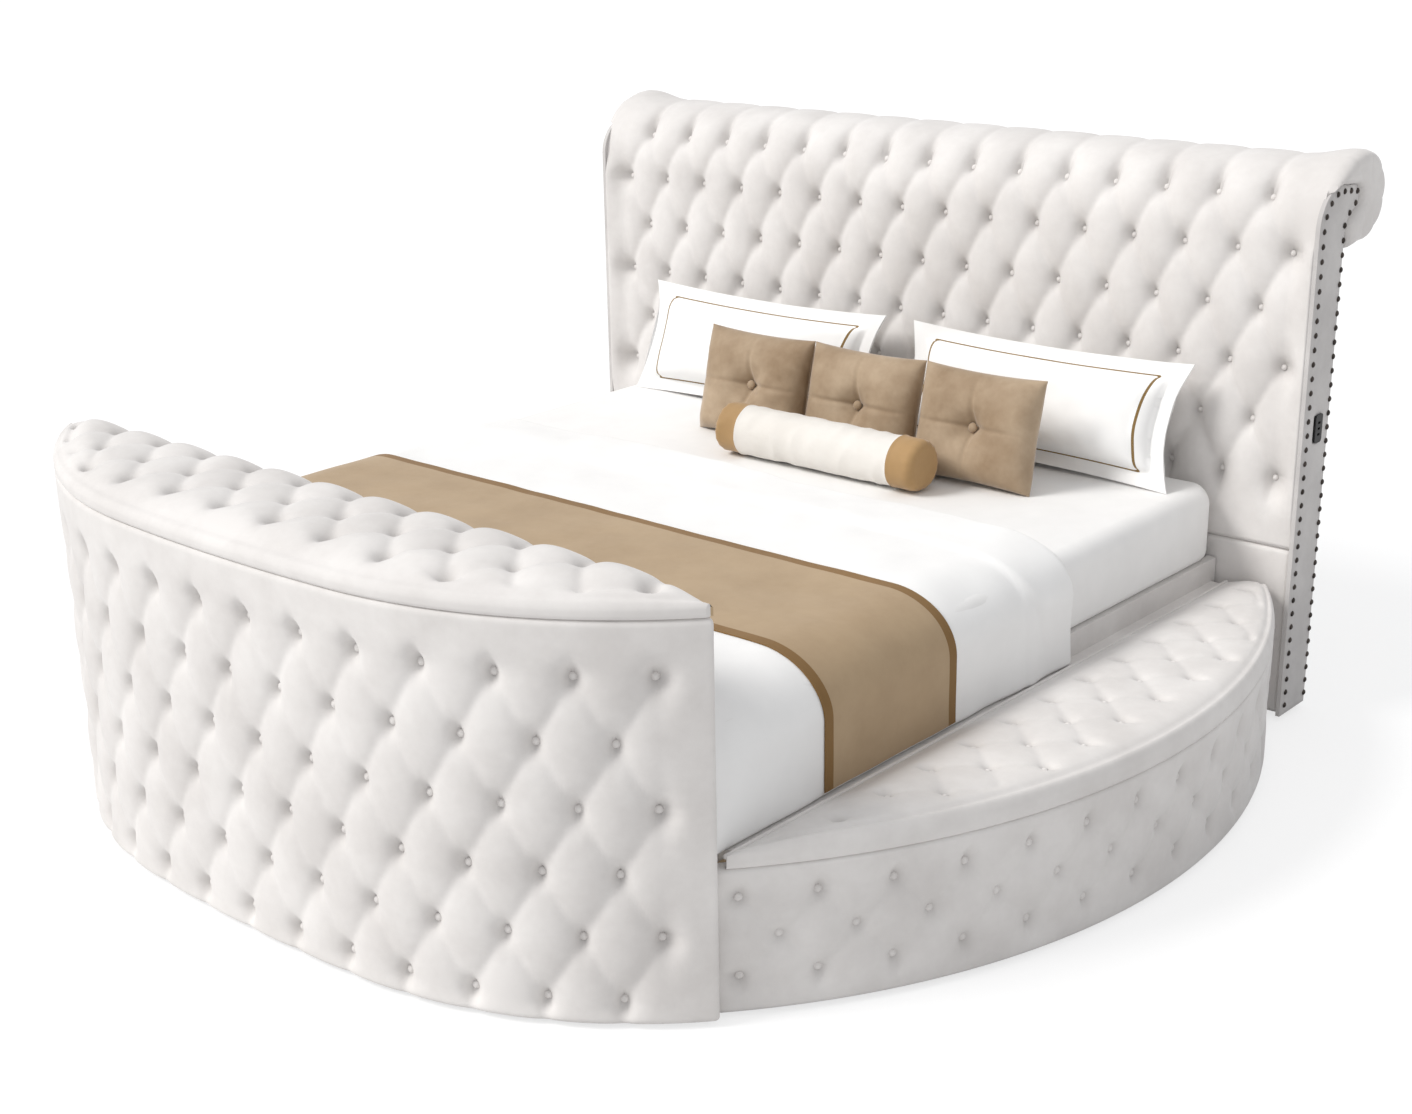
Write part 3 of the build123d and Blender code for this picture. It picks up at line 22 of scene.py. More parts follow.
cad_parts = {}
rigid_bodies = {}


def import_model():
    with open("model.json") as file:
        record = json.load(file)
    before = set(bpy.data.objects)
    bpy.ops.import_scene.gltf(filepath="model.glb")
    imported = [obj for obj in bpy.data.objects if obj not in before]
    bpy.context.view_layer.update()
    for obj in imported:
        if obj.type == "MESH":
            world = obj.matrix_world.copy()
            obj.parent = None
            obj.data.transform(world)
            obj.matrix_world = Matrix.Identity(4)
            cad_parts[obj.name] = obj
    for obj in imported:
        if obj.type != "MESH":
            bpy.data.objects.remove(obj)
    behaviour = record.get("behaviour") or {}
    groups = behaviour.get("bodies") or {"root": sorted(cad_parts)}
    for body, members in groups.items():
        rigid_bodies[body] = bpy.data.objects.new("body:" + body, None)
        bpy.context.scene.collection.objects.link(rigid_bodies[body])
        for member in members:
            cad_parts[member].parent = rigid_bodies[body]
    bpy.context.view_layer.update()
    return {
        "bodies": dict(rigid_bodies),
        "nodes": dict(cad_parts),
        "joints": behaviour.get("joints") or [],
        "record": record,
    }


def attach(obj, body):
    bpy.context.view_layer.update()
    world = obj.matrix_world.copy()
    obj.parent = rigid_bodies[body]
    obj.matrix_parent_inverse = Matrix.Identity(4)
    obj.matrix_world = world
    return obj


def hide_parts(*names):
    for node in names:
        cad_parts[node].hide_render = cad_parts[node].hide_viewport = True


log = logging.getLogger("round_bed")

Array = np.ndarray
QUARTER_TURN = np.pi / 2


class Slot(Enum):
    """Names of the record's material slots."""

    VELVET = "velvet"
    LINEN = "linen"
    RUNNER = "runner_velvet"
    ACCENT = "accent_velvet"
    TICKING = "mattress_ticking"


class Side(Enum):
    """The two sides of the bed, each with the sign of its X."""

    RIGHT = 1
    LEFT = -1

    @property
    def word(self) -> str:
        """The side's name in lower case."""
        return self.name.lower()


# Arrays


def marks(low: float, high: float, step: float, roll: float = 0.0) -> Array:
    """Even steps between two places, denser inside a rolled edge at both ends.

    In an edge the distance from the end is roll * (1 - cos(turn)) for even turns.

    Args:
        low: First place.
        high: Last place.
        step: Length of an even step.
        roll: Width of the rolled edge.

    Returns:
        The places in rising order.
    """
    edge = roll * (1 - np.cos(np.linspace(0, QUARTER_TURN, 7)))[:-1] if roll else np.zeros(0)
    count = max(1, round((high - low - 2 * roll) / step))
    middle = np.linspace(low + roll, high - roll, count + 1)
    return np.concatenate([low + edge, middle, (high - edge)[::-1]])


def rolled(distance: Array, radius: float) -> Array:
    """How far a round edge falls back: radius - sqrt(radius^2 - (radius - distance)^2).

    Args:
        distance: Distance from the edge.
        radius: The edge's radius.

    Returns:
        The fall, nothing beyond the radius.
    """
    short = np.clip(1 - distance / radius, 0, 1)
    return radius * (1 - np.sqrt(1 - short**2))


def sine_rise(distance: Array, width: float) -> Array:
    """Rises as a sine from 0 at no distance to 1 at the width, level at its top."""
    return np.sin(QUARTER_TURN * np.clip(distance / width, 0, 1))


def smooth_step(value: Array, low: float, high: float) -> Array:
    """Rises from 0 at low to 1 at high as 3 t^2 - 2 t^3."""
    share = np.clip((value - low) / (high - low), 0, 1)
    return share * share * (3 - 2 * share)


def bell(distance: Array, width: float) -> Array:
    """A bell curve, exp(-(distance / width)^2)."""
    return np.exp(-((distance / width) ** 2))


@dataclass(frozen=True)
class Creases:
    """Soft creases in cloth, a seeded sum of sine waves over a surface.

    Attributes:
        seed: Seed of the waves' directions, lengths and phases.
        count: Number of waves.
        shortest: Shortest wavelength.
        longest: Longest wavelength.
        heading: Main direction across the creases, in radians.
        spread: How far a wave's direction may turn from the heading.
    """

    seed: int
    count: int
    shortest: float
    longest: float
    heading: float = 0.0
    spread: float = np.pi

    def at(self, x: Array, y: Array) -> Array:
        """The waves' sum over the root of their count, at points.

        Args:
            x: First coordinates.
            y: Second coordinates.

        Returns:
            Values mostly from -1 to 1.
        """
        draw = np.random.default_rng(self.seed)
        turn = self.heading + draw.uniform(-self.spread, self.spread, self.count)
        pace = 2 * np.pi / draw.uniform(self.shortest, self.longest, self.count)
        start = draw.uniform(0, 2 * np.pi, self.count)
        total = np.zeros(np.broadcast(x, y).shape)
        for angle, rate, phase in zip(turn, pace, start):
            total = total + np.sin(rate * (np.cos(angle) * x + np.sin(angle) * y) + phase)
        return total / math.sqrt(self.count)


# Meshes


def keep_on_points(mesh: bpy.types.Mesh, name: str, values: Array) -> None:
    """Keeps one number for each vertex in an attribute."""
    kept = mesh.attributes.new(name, "FLOAT", "POINT")
    kept.data.foreach_set("value", values.astype(np.float32).ravel())


def mesh_object(name: str, points: Array, faces: list[Array], sharp: float = 50.0,
                pits: Array | None = None) -> bpy.types.Object:
    """Makes an object at the origin with its faces turned outwards.

    Args:
        name: The piece's name.
        points: Vertices, one row of three each.
        faces: Arrays of faces, each array with one number of corners.
        sharp: Angle in degrees over which an edge is shaded sharp.
        pits: How deep each vertex lies in a buttoned pit, from 0 to 1, kept as the attribute pit that the
            velvet reads as painted shade.

    Returns:
        The new object, linked to the scene.
    """
    volume = 0.0
    for group in faces:
        corner = points[group]
        for i in range(1, group.shape[1] - 1):
            volume += np.einsum("ij,ij->", corner[:, 0], np.cross(corner[:, i], corner[:, i + 1]))
    if volume < 0:
        faces = [group[:, ::-1] for group in faces]
    totals = np.concatenate([np.full(len(group), group.shape[1]) for group in faces])
    mesh = bpy.data.meshes.new(name)
    mesh.vertices.add(len(points))
    mesh.vertices.foreach_set("co", np.ascontiguousarray(points, dtype=np.float32).ravel())
    mesh.loops.add(int(totals.sum()))
    corners = np.concatenate([group.ravel() for group in faces])
    mesh.loops.foreach_set("vertex_index", corners.astype(np.int32))
    mesh.polygons.add(len(totals))
    starts = np.concatenate([[0], np.cumsum(totals)[:-1]])
    mesh.polygons.foreach_set("loop_start", starts.astype(np.int32))
    mesh.update(calc_edges=True)
    mesh.validate()
    # The attribute pit carries painted shade into the buttoned pits
    if pits is not None:
        keep_on_points(mesh, "pit", pits)
    mesh.polygons.foreach_set("use_smooth", np.ones(len(mesh.polygons), dtype=bool))
    mesh.set_sharp_from_angle(angle=math.radians(sharp))
    piece = bpy.data.objects.new(name, mesh)
    bpy.context.scene.collection.objects.link(piece)
    return piece


def lattice_quads(rows: int, columns: int, closed: bool) -> Array:
    """Corner numbers of the quads between rows of points.

    Args:
        rows: Number of rows.
        columns: Points in a row.
        closed: Whether each row is a ring.

    Returns:
        One quad a row.
    """
    across = columns if closed else columns - 1
    i, j = np.meshgrid(np.arange(rows - 1), np.arange(across), indexing="ij")
    after = (j + 1) % columns
    corners = [i * columns + j, (i + 1) * columns + j, (i + 1) * columns + after, i * columns + after]
    return np.stack([corner.ravel() for corner in corners], axis=-1)


def shell(name: str, rings: Array, sharp: float = 50.0, relief: Array | None = None) -> bpy.types.Object:
    """A closed solid skin through a row of rings, with a flat cap at both ends.

    Args:
        name: The piece's name.
        rings: Points, by ring and by place in the ring.
        sharp: Angle in degrees over which an edge is shaded sharp.
        relief: Height of each ring's first points, 0 in the pits and 1 on the padding. They lie (1 -
            height)^3 deep in a pit, kept as the attribute pit that paints shade into the pits.

    Returns:
        The new object.
    """
    count, size = rings.shape[:2]
    pits = None
    # Painted shade: how deep each point lies in a pit, for the velvet to darken
    if relief is not None:
        pits = np.zeros((count, size))
        pits[:, :relief.shape[1]] = (1 - relief) ** 3
    quads = lattice_quads(count, size, True)
    caps = np.stack([np.arange(size)[::-1], np.arange(size) + (count - 1) * size])
    return mesh_object(name, rings.reshape(-1, 3), [quads, caps], sharp, pits)


def stacked(*coordinates: Array) -> Array:
    """Joins coordinate arrays of one shape, or that spread to one, into points."""
    return np.stack(np.broadcast_arrays(*coordinates), axis=-1)


def path_lengths(points: Array) -> Array:
    """Length along a line through points, from its first point to each."""
    steps = np.linalg.norm(np.diff(points, axis=0), axis=1)
    return np.concatenate([[0.0], np.cumsum(steps)])


def resampled(points: Array, step: float) -> Array:
    """Even points along a line through points.

    Args:
        points: The line's points.
        step: About the distance between new points.

    Returns:
        New points, the first and last where they were.
    """
    lengths = path_lengths(points)
    places = np.linspace(0, lengths[-1], max(2, round(lengths[-1] / step) + 1))
    return np.stack([np.interp(places, lengths, points[:, k]) for k in range(points.shape[1])], axis=-1)


def filleted(corners: list[tuple[float, float]], radii: list[float], steps: int = 12) -> Array:
    """A line through corners with each inner corner replaced by an arc.

    The arc touches both sides at radius * tan(turn / 2) from the corner.

    Args:
        corners: The line's corners.
        radii: Radius at each inner corner.
        steps: Pieces of each arc.

    Returns:
        Points along the line.
    """
    points = [np.array(corners[0], dtype=float)]
    for before, corner, after, radius in zip(corners, corners[1:], corners[2:], radii):
        here = np.array(corner, dtype=float)
        back, on = np.array(before) - here, np.array(after) - here
        back, on = back / np.linalg.norm(back), on / np.linalg.norm(on)
        half = math.acos(float(np.clip(back @ on, -1, 1))) / 2
        reach = radius / math.tan(half)
        middle = back + on
        centre = here + middle / np.linalg.norm(middle) * radius / math.sin(half)
        first = here + back * reach - centre
        last = here + on * reach - centre
        start = math.atan2(first[1], first[0])
        sweep = (math.atan2(last[1], last[0]) - start + np.pi) % (2 * np.pi) - np.pi
        angles = start + sweep * np.linspace(0, 1, steps + 1)
        points += list(centre + radius * np.stack([np.cos(angles), np.sin(angles)], axis=-1))
    points.append(np.array(corners[-1], dtype=float))
    return np.array(points)


def grown(line: Array, margin: float) -> Array:
    """A line moved to the left of its own direction by a margin.

    Args:
        line: The line's points.
        margin: Distance to the left.

    Returns:
        The moved points.
    """
    along = np.gradient(line, axis=0)
    along /= np.linalg.norm(along, axis=1, keepdims=True)
    return line + margin * np.stack([-along[:, 1], along[:, 0]], axis=-1)


def outline_distance(points: Array, outline: Array) -> Array:
    """Distance of points from the sides of a closed outline.

    Args:
        points: Points in the outline's plane.
        outline: The outline's corners.

    Returns:
        The shortest distance of each point.
    """
    start, end = outline, np.roll(outline, -1, axis=0)
    side = end - start
    square = np.maximum((side**2).sum(axis=1), 1e-12)
    best = np.full(len(points), np.inf)
    for a, way, length in zip(start, side, square):
        share = np.clip((points - a) @ way / length, 0, 1)
        gap = np.linalg.norm(points - a - share[:, None] * way, axis=1)
        best = np.minimum(best, gap)
    return best


def within(points: Array, outline: Array) -> Array:
    """Whether points lie inside a closed outline, by an odd number of sides crossed to their right.

    Args:
        points: Points in the outline's plane.
        outline: The outline's corners.

    Returns:
        True for each point inside.
    """
    odd = np.zeros(len(points), dtype=bool)
    for start, end in zip(outline, np.roll(outline, -1, axis=0)):
        if start[1] == end[1]:
            continue
        spans = (start[1] > points[:, 1]) != (end[1] > points[:, 1])
        crossing = start[0] + (points[:, 1] - start[1]) / (end[1] - start[1]) * (end[0] - start[0])
        odd ^= spans & (points[:, 0] < crossing)
    return odd


def plate(part: str, side: Side, outline: Array, hole: Array | None,
          relief: Callable[[Array, Array], Array], seat: float, step: float) -> bpy.types.Object:
    """A padded plate facing along X: a triangulated front over an outline, walls and a flat back.

    Args:
        part: The piece's name without its side.
        side: The side, of which the left one is mirrored.
        outline: Corners of the outline in Y and Z.
        hole: Corners of an outline that is left out, or None.
        relief: Turns points and their distance from the edge into the front's X.
        seat: X of the back.
        step: Distance between the points inside.

    Returns:
        The new object.
    """
    loops = [outline] if hole is None else [outline, hole]
    low, high = outline.min(axis=0), outline.max(axis=0)
    columns = np.arange(low[0], high[0], step)
    levels = np.arange(low[1], high[1], step)
    field = np.stack(np.meshgrid(columns, levels), axis=-1).reshape(-1, 2)
    far = np.min([outline_distance(field, loop) for loop in loops], axis=0)
    points = [Vector(point) for point in np.concatenate([*loops, field[far > step * 0.6]])]
    sides, first = [], 0
    for loop in loops:
        sides += [(first + i, first + (i + 1) % len(loop)) for i in range(len(loop))]
        first += len(loop)
    flat, _, triangles, *_ = delaunay_2d_cdt(points, sides, [], 0, 1e-6)
    front = np.array([tuple(point) for point in flat])
    top = np.array([tuple(face) for face in triangles])
    middle = front[top].mean(axis=1)
    kept = within(middle, outline)
    if hole is not None:
        kept &= ~within(middle, hole)
    used, top = np.unique(top[kept], return_inverse=True)
    top = top.reshape(-1, 3)
    front = front[used]
    inner = np.min([outline_distance(front, loop) for loop in loops], axis=0)
    count = len(front)
    solid = np.concatenate([stacked(relief(front, inner), front[:, 0], front[:, 1]),
                            stacked(np.full(count, seat), front[:, 0], front[:, 1])])
    # A wall stands on each side that only one triangle has
    pairs = np.concatenate([top[:, [0, 1]], top[:, [1, 2]], top[:, [2, 0]]])
    codes, mirrors = pairs[:, 0] * count + pairs[:, 1], pairs[:, 1] * count + pairs[:, 0]
    border = pairs[~np.isin(mirrors, codes)]
    walls = np.stack([border[:, 1], border[:, 0], border[:, 0] + count, border[:, 1] + count], axis=-1)
    piece = mesh_object(f"{side.word}_{part}", solid, [top, top[:, ::-1] + count, walls])
    if side is Side.LEFT:
        piece.data.transform(Matrix.Scale(-1, 4, Vector((1, 0, 0))))
        piece.data.flip_normals()
    return piece


# Shaders


class Value:
    """A shader socket that Python's operators turn into Math nodes."""

    def __init__(self, shader: Shader, socket: bpy.types.NodeSocket) -> None:
        """Keeps a socket and the shader it is in."""
        self.shader = shader
        self.socket = socket

    def _with(self, operation: str, *others: Value | float) -> Value:
        """One Math node on the value and others."""
        inputs = dict(enumerate((self, *others)))
        return self.shader.node("ShaderNodeMath", {"operation": operation}, inputs)

    def __add__(self, other: Value | float) -> Value:
        """Sum."""
        return self._with("ADD", other)

    __radd__ = __add__

    def __mul__(self, other: Value | float) -> Value:
        """Product."""
        return self._with("MULTIPLY", other)

    __rmul__ = __mul__

    def __sub__(self, other: Value | float) -> Value:
        """Difference."""
        return self._with("SUBTRACT", other)

    def __rsub__(self, other: float) -> Value:
        """Reflected difference."""
        return self.shader.node("ShaderNodeMath", {"operation": "SUBTRACT"}, {0: other, 1: self})

    def __abs__(self) -> Value:
        """Size without sign."""
        return self._with("ABSOLUTE")

    def above(self, other: float) -> Value:
        """1 where the value is greater, else 0."""
        return self._with("GREATER_THAN", other)

    def larger(self, other: Value) -> Value:
        """The larger of two values."""
        return self._with("MAXIMUM", other)


class Shader:
    """A material's or the world's node tree, with one method that adds any node."""

    def __init__(self, name: str, world: bool = False) -> None:
        """Makes an empty tree.

        Args:
            name: Name of the material or world.
            world: Whether the tree is a world's.
        """
        self.owner = (bpy.data.worlds if world else bpy.data.materials).new(name)
        self.owner.use_nodes = True
        self.tree = self.owner.node_tree
        self.tree.nodes.clear()

    def node(self, kind: str, settings: dict, inputs: dict, output: int | str = 0) -> Value:
        """Adds a node.

        Args:
            kind: The node's type.
            settings: Its settings; stops sets a ramp's places and colours.
            inputs: Values or links of its sockets, by number or name.
            output: The socket that is given back.

        Returns:
            The output as a value.
        """
        node = self.tree.nodes.new(kind)
        for key, setting in settings.items():
            if key == "stops":
                ramp = node.color_ramp
                ramp.elements[0].position, ramp.elements[0].color = setting[0][0], (*setting[0][1], 1)
                ramp.elements[1].position, ramp.elements[1].color = setting[-1][0], (*setting[-1][1], 1)
                for place, colour in setting[1:-1]:
                    ramp.elements.new(place).color = (*colour, 1)
            else:
                setattr(node, key, setting)
        for key, given in inputs.items():
            socket = node.inputs[key]
            if isinstance(given, Value):
                self.tree.links.new(given.socket, socket)
            elif isinstance(given, tuple) and len(given) == 3 and socket.type == "RGBA":
                socket.default_value = (*given, 1)
            else:
                socket.default_value = given
        return Value(self, node.outputs[output] if node.outputs else None)

    def object_point(self) -> Value:
        """The Object coordinates."""
        return self.node("ShaderNodeTexCoord", {}, {}, "Object")

    def ray(self, kind: str) -> Value:
        """1 for one of Light Path's kinds of ray, else 0."""
        return self.node("ShaderNodeLightPath", {}, {}, kind)

    def noise(self, scale: float, detail: float = 2.0, roughness: float = 0.5,
              point: Value | None = None) -> Value:
        """Noise from 0 to 1 over the Object coordinates, or over other ones."""
        inputs = {"Vector": point or self.object_point(), "Scale": scale, "Detail": detail,
                  "Roughness": roughness}
        return self.node("ShaderNodeTexNoise", {}, inputs, "Fac")

    def mix(self, share: Value | float, first: Value | tuple, second: Value | tuple) -> Value:
        """Mixes two colours by a share."""
        inputs = {0: share, 6: first, 7: second}
        return self.node("ShaderNodeMix", {"data_type": "RGBA"}, inputs, 2)

    def ramp(self, value: Value, *stops: tuple[float, tuple]) -> Value:
        """A colour ramp over a value."""
        return self.node("ShaderNodeValToRGB", {"stops": stops}, {"Fac": value})

    def bump(self, height: Value, strength: float, distance: float, under: Value | None = None) -> Value:
        """A Bump node for a height in shares of the distance.

        Args:
            height: Height in shares of the distance.
            strength: Strength of the bump.
            distance: Distance that a height of 1 stands for.
            under: Normal that is bent further, or None.

        Returns:
            The bent normal.
        """
        inputs = {"Height": height, "Strength": strength, "Distance": distance}
        if under is not None:
            inputs["Normal"] = under
        return self.node("ShaderNodeBump", {}, inputs)

    def axes(self) -> tuple[Value, ...]:
        """X, Y and Z of the Object coordinates."""
        split = self.node("ShaderNodeSeparateXYZ", {}, {0: self.object_point()})
        return tuple(Value(self, output) for output in split.socket.node.outputs)

    def attribute(self, name: str) -> Value:
        """A number kept on the piece's points."""
        return self.node("ShaderNodeAttribute", {"attribute_name": name}, {}, "Fac")

    def surface(self, **inputs: Value | float | tuple) -> bpy.types.Material:
        """Ends the tree in a Principled surface.

        Args:
            inputs: Its sockets, with an underscore for each space in a name.

        Returns:
            The finished material.
        """
        sockets = {key.replace("_", " "): given for key, given in inputs.items()}
        shade = self.node("ShaderNodeBsdfPrincipled", {}, sockets)
        self.node("ShaderNodeOutputMaterial", {}, {"Surface": shade})
        return self.owner


Colour = tuple[float, float, float]


@dataclass(frozen=True)
class Velvet:
    """Short-pile velvet: nap that lies lighter and darker in soft patches, with painted shade darkening it in
    the pits.
    """

    name: str
    light: Colour
    dark: Colour
    nap_scale: float = 5.0
    pile_scale: float = 420.0
    roughness: float = 0.72
    wear_scale: float = 40.0
    sheen: float = 0.35
    sheen_roughness: float = 0.35
    contrast: float = 0.16
    # Painted shade in the buttoned pits: the share of the darker tone, and its level against the dark colour
    closing: float = 0.55
    closed_light: float = 0.55

    def colour(self, shader: Shader, share: Value) -> Value:
        """The pile's colour, mixed towards a darker one in the pits as painted shade.

        Args:
            shader: The tree.
            share: The nap's share of the light colour.

        Returns:
            The colour.
        """
        pile_without_pit_shade = shader.ramp(share, (0.0, self.dark), (1.0, self.light))
        # Painted shade: the dark colour, made darker still, mixed in where the attribute pit marks a buttoned
        # pit
        closed = tuple(part * self.closed_light for part in self.dark)
        return shader.mix(shader.attribute("pit") * self.closing, pile_without_pit_shade, closed)

    def material(self) -> bpy.types.Material:
        """Builds the nodes. The nap's share is ((nap - 0.5) / contrast + fine - 0.5) / 2 + 0.5.

        Returns:
            The material.
        """
        shader = Shader(self.name)
        nap = shader.noise(self.nap_scale, 4.0, 0.6)
        fine = shader.noise(self.nap_scale * 9, 3.0, 0.65)
        share = (nap - 0.5) * (0.5 / self.contrast) + (fine - 0.5) * 0.5 + 0.5
        pile = shader.noise(self.pile_scale, 2.0, 0.7)
        normal = shader.bump(pile, 0.35, 0.0006, shader.bump(fine, 0.12, 0.003))
        rough = shader.noise(self.wear_scale) * 0.16 + (self.roughness - 0.08)
        return shader.surface(Base_Color=self.colour(shader, share), Roughness=rough, Normal=normal,
                              Sheen_Weight=self.sheen, Sheen_Roughness=self.sheen_roughness,
                              Specular_IOR_Level=0.25)


@dataclass(frozen=True)
class BandedVelvet(Velvet):
    """Velvet with woven bands along two edges, where the distance from a middle passes a limit."""

    wear_scale: float = 50.0
    sheen_roughness: float = 0.4
    axis: int = 1
    middle: float = 0.0
    inner: float = 0.2
    band: Colour = (0.3, 0.17, 0.05)
    band_dark: float = 0.86

    def colour(self, shader: Shader, share: Value) -> Value:
        """The ground's colour, and the bands' one beyond the limit.

        Args:
            shader: The tree.
            share: The nap's share of the light colour.

        Returns:
            The colour.
        """
        away = abs(shader.axes()[self.axis] - self.middle)
        ground = shader.ramp(share, (0.0, self.dark), (1.0, self.light))
        darker = tuple(part * self.band_dark for part in self.band)
        band = shader.ramp(share, (0.0, darker), (1.0, self.band))
        return shader.mix(away.above(self.inner), ground, band)


@dataclass(frozen=True)
class Linen:
    """Washed cotton: a fine plain weave with faint slubs, and where asked an embroidered line."""

    name: str
    light: Colour = (0.945, 0.94, 0.93)
    dark: Colour = (0.905, 0.90, 0.89)
    thread: float = 620.0
    line: Colour | None = None
    line_inset: float = 0.038
    line_width: float = 0.0036

    def material(self) -> bpy.types.Material:
        """Builds the nodes.

        Returns:
            The material.
        """
        shader = Shader(self.name)
        slub = shader.noise(9.0, 5.0, 0.6)
        weave = shader.noise(self.thread, 1.0, 0.5)
        colour = shader.ramp(slub, (0.25, self.dark), (0.75, self.light))
        height = weave
        if self.line is not None:
            border = abs(shader.attribute("border") - self.line_inset)
            mask = 1 - border.above(self.line_width / 2)
            stitch = shader.noise(520.0, 1.0)
            tone = shader.ramp(stitch, (0.3, tuple(part * 0.6 for part in self.line)), (0.7, self.line))
            colour = shader.mix(mask, colour, tone)
            height = weave + mask * 1.5
        normal = shader.bump(height, 0.3, 0.0005, shader.bump(slub, 0.1, 0.004))
        rough = shader.noise(30.0) * 0.1 + 0.78
        return shader.surface(Base_Color=colour, Roughness=rough, Sheen_Weight=0.15, Sheen_Roughness=0.5,
                              Specular_IOR_Level=0.2, Normal=normal)


@dataclass(frozen=True)
class Wood:
    """Sawn wood: stretched noise for the grain, and rings across it."""

    name: str
    light: Colour
    dark: Colour
    stretch: tuple[float, float, float] = (30.0, 1.6, 30.0)

    def material(self) -> bpy.types.Material:
        """Builds the nodes.

        Returns:
            The material.
        """
        shader = Shader(self.name)
        stretched = {"Vector": shader.object_point(), "Scale": self.stretch}
        point = shader.node("ShaderNodeMapping", {}, stretched)
        grain = shader.noise(1.6, 6.0, 0.62, point)
        pores = shader.noise(9.0, 3.0, 0.6, point)
        share = grain * 0.75 + pores * 0.25
        colour = shader.ramp(share, (0.3, self.dark), (0.7, self.light))
        normal = shader.bump(pores, 0.25, 0.0006)
        return shader.surface(Base_Color=colour, Roughness=grain * 0.2 + 0.5, Normal=normal,
                              Specular_IOR_Level=0.35)


@dataclass(frozen=True)
class Plastic:
    """Moulded plastic: cloudy tone and gloss, and a fine spark-eroded grain."""

    name: str
    light: Colour
    dark: Colour
    roughness: float
    metallic: float = 0.0
    clouds: tuple[float, float, float] = (25.0, 3.0, 0.5)
    uneven: float = 0.1
    grain: tuple[float, float] = (1500.0, 1.0)
    relief: tuple[float, float] = (0.2, 0.0002)

    def material(self) -> bpy.types.Material:
        """Builds the nodes.

        Returns:
            The material.
        """
        shader = Shader(self.name)
        cloud = shader.noise(*self.clouds)
        colour = shader.ramp(cloud, (0.3, self.dark), (0.7, self.light))
        return shader.surface(Base_Color=colour, Roughness=cloud * self.uneven + self.roughness,
                              Metallic=self.metallic,
                              Normal=shader.bump(shader.noise(*self.grain), *self.relief))


@dataclass(frozen=True)
class Metal(Plastic):
    """Metal in the same way, with cloudy tarnish and fine scratches."""

    metallic: float = 1.0
    clouds: tuple[float, float, float] = (45.0, 4.0, 0.6)
    uneven: float = 0.2
    grain: tuple[float, float] = (700.0, 2.0)
    relief: tuple[float, float] = (0.15, 0.0003)


# The bed's outlines in plan and in side view


@dataclass(frozen=True)
class Bed:
    """Sizes that several parts of the bed share."""

    mattress_half: float = 0.965
    mattress_foot_y: float = -0.998
    mattress_head_y: float = 1.032
    deck: float = 0.403
    mattress_top: float = 0.603
    foot_level: float = 0.010
    gap: float = 0.0003
    edge_sink: float = 0.004
    lid_board: float = 0.018
    lid_cover: float = 0.008
    wall_button: float = 0.0092
    welt_radius: float = 0.0053


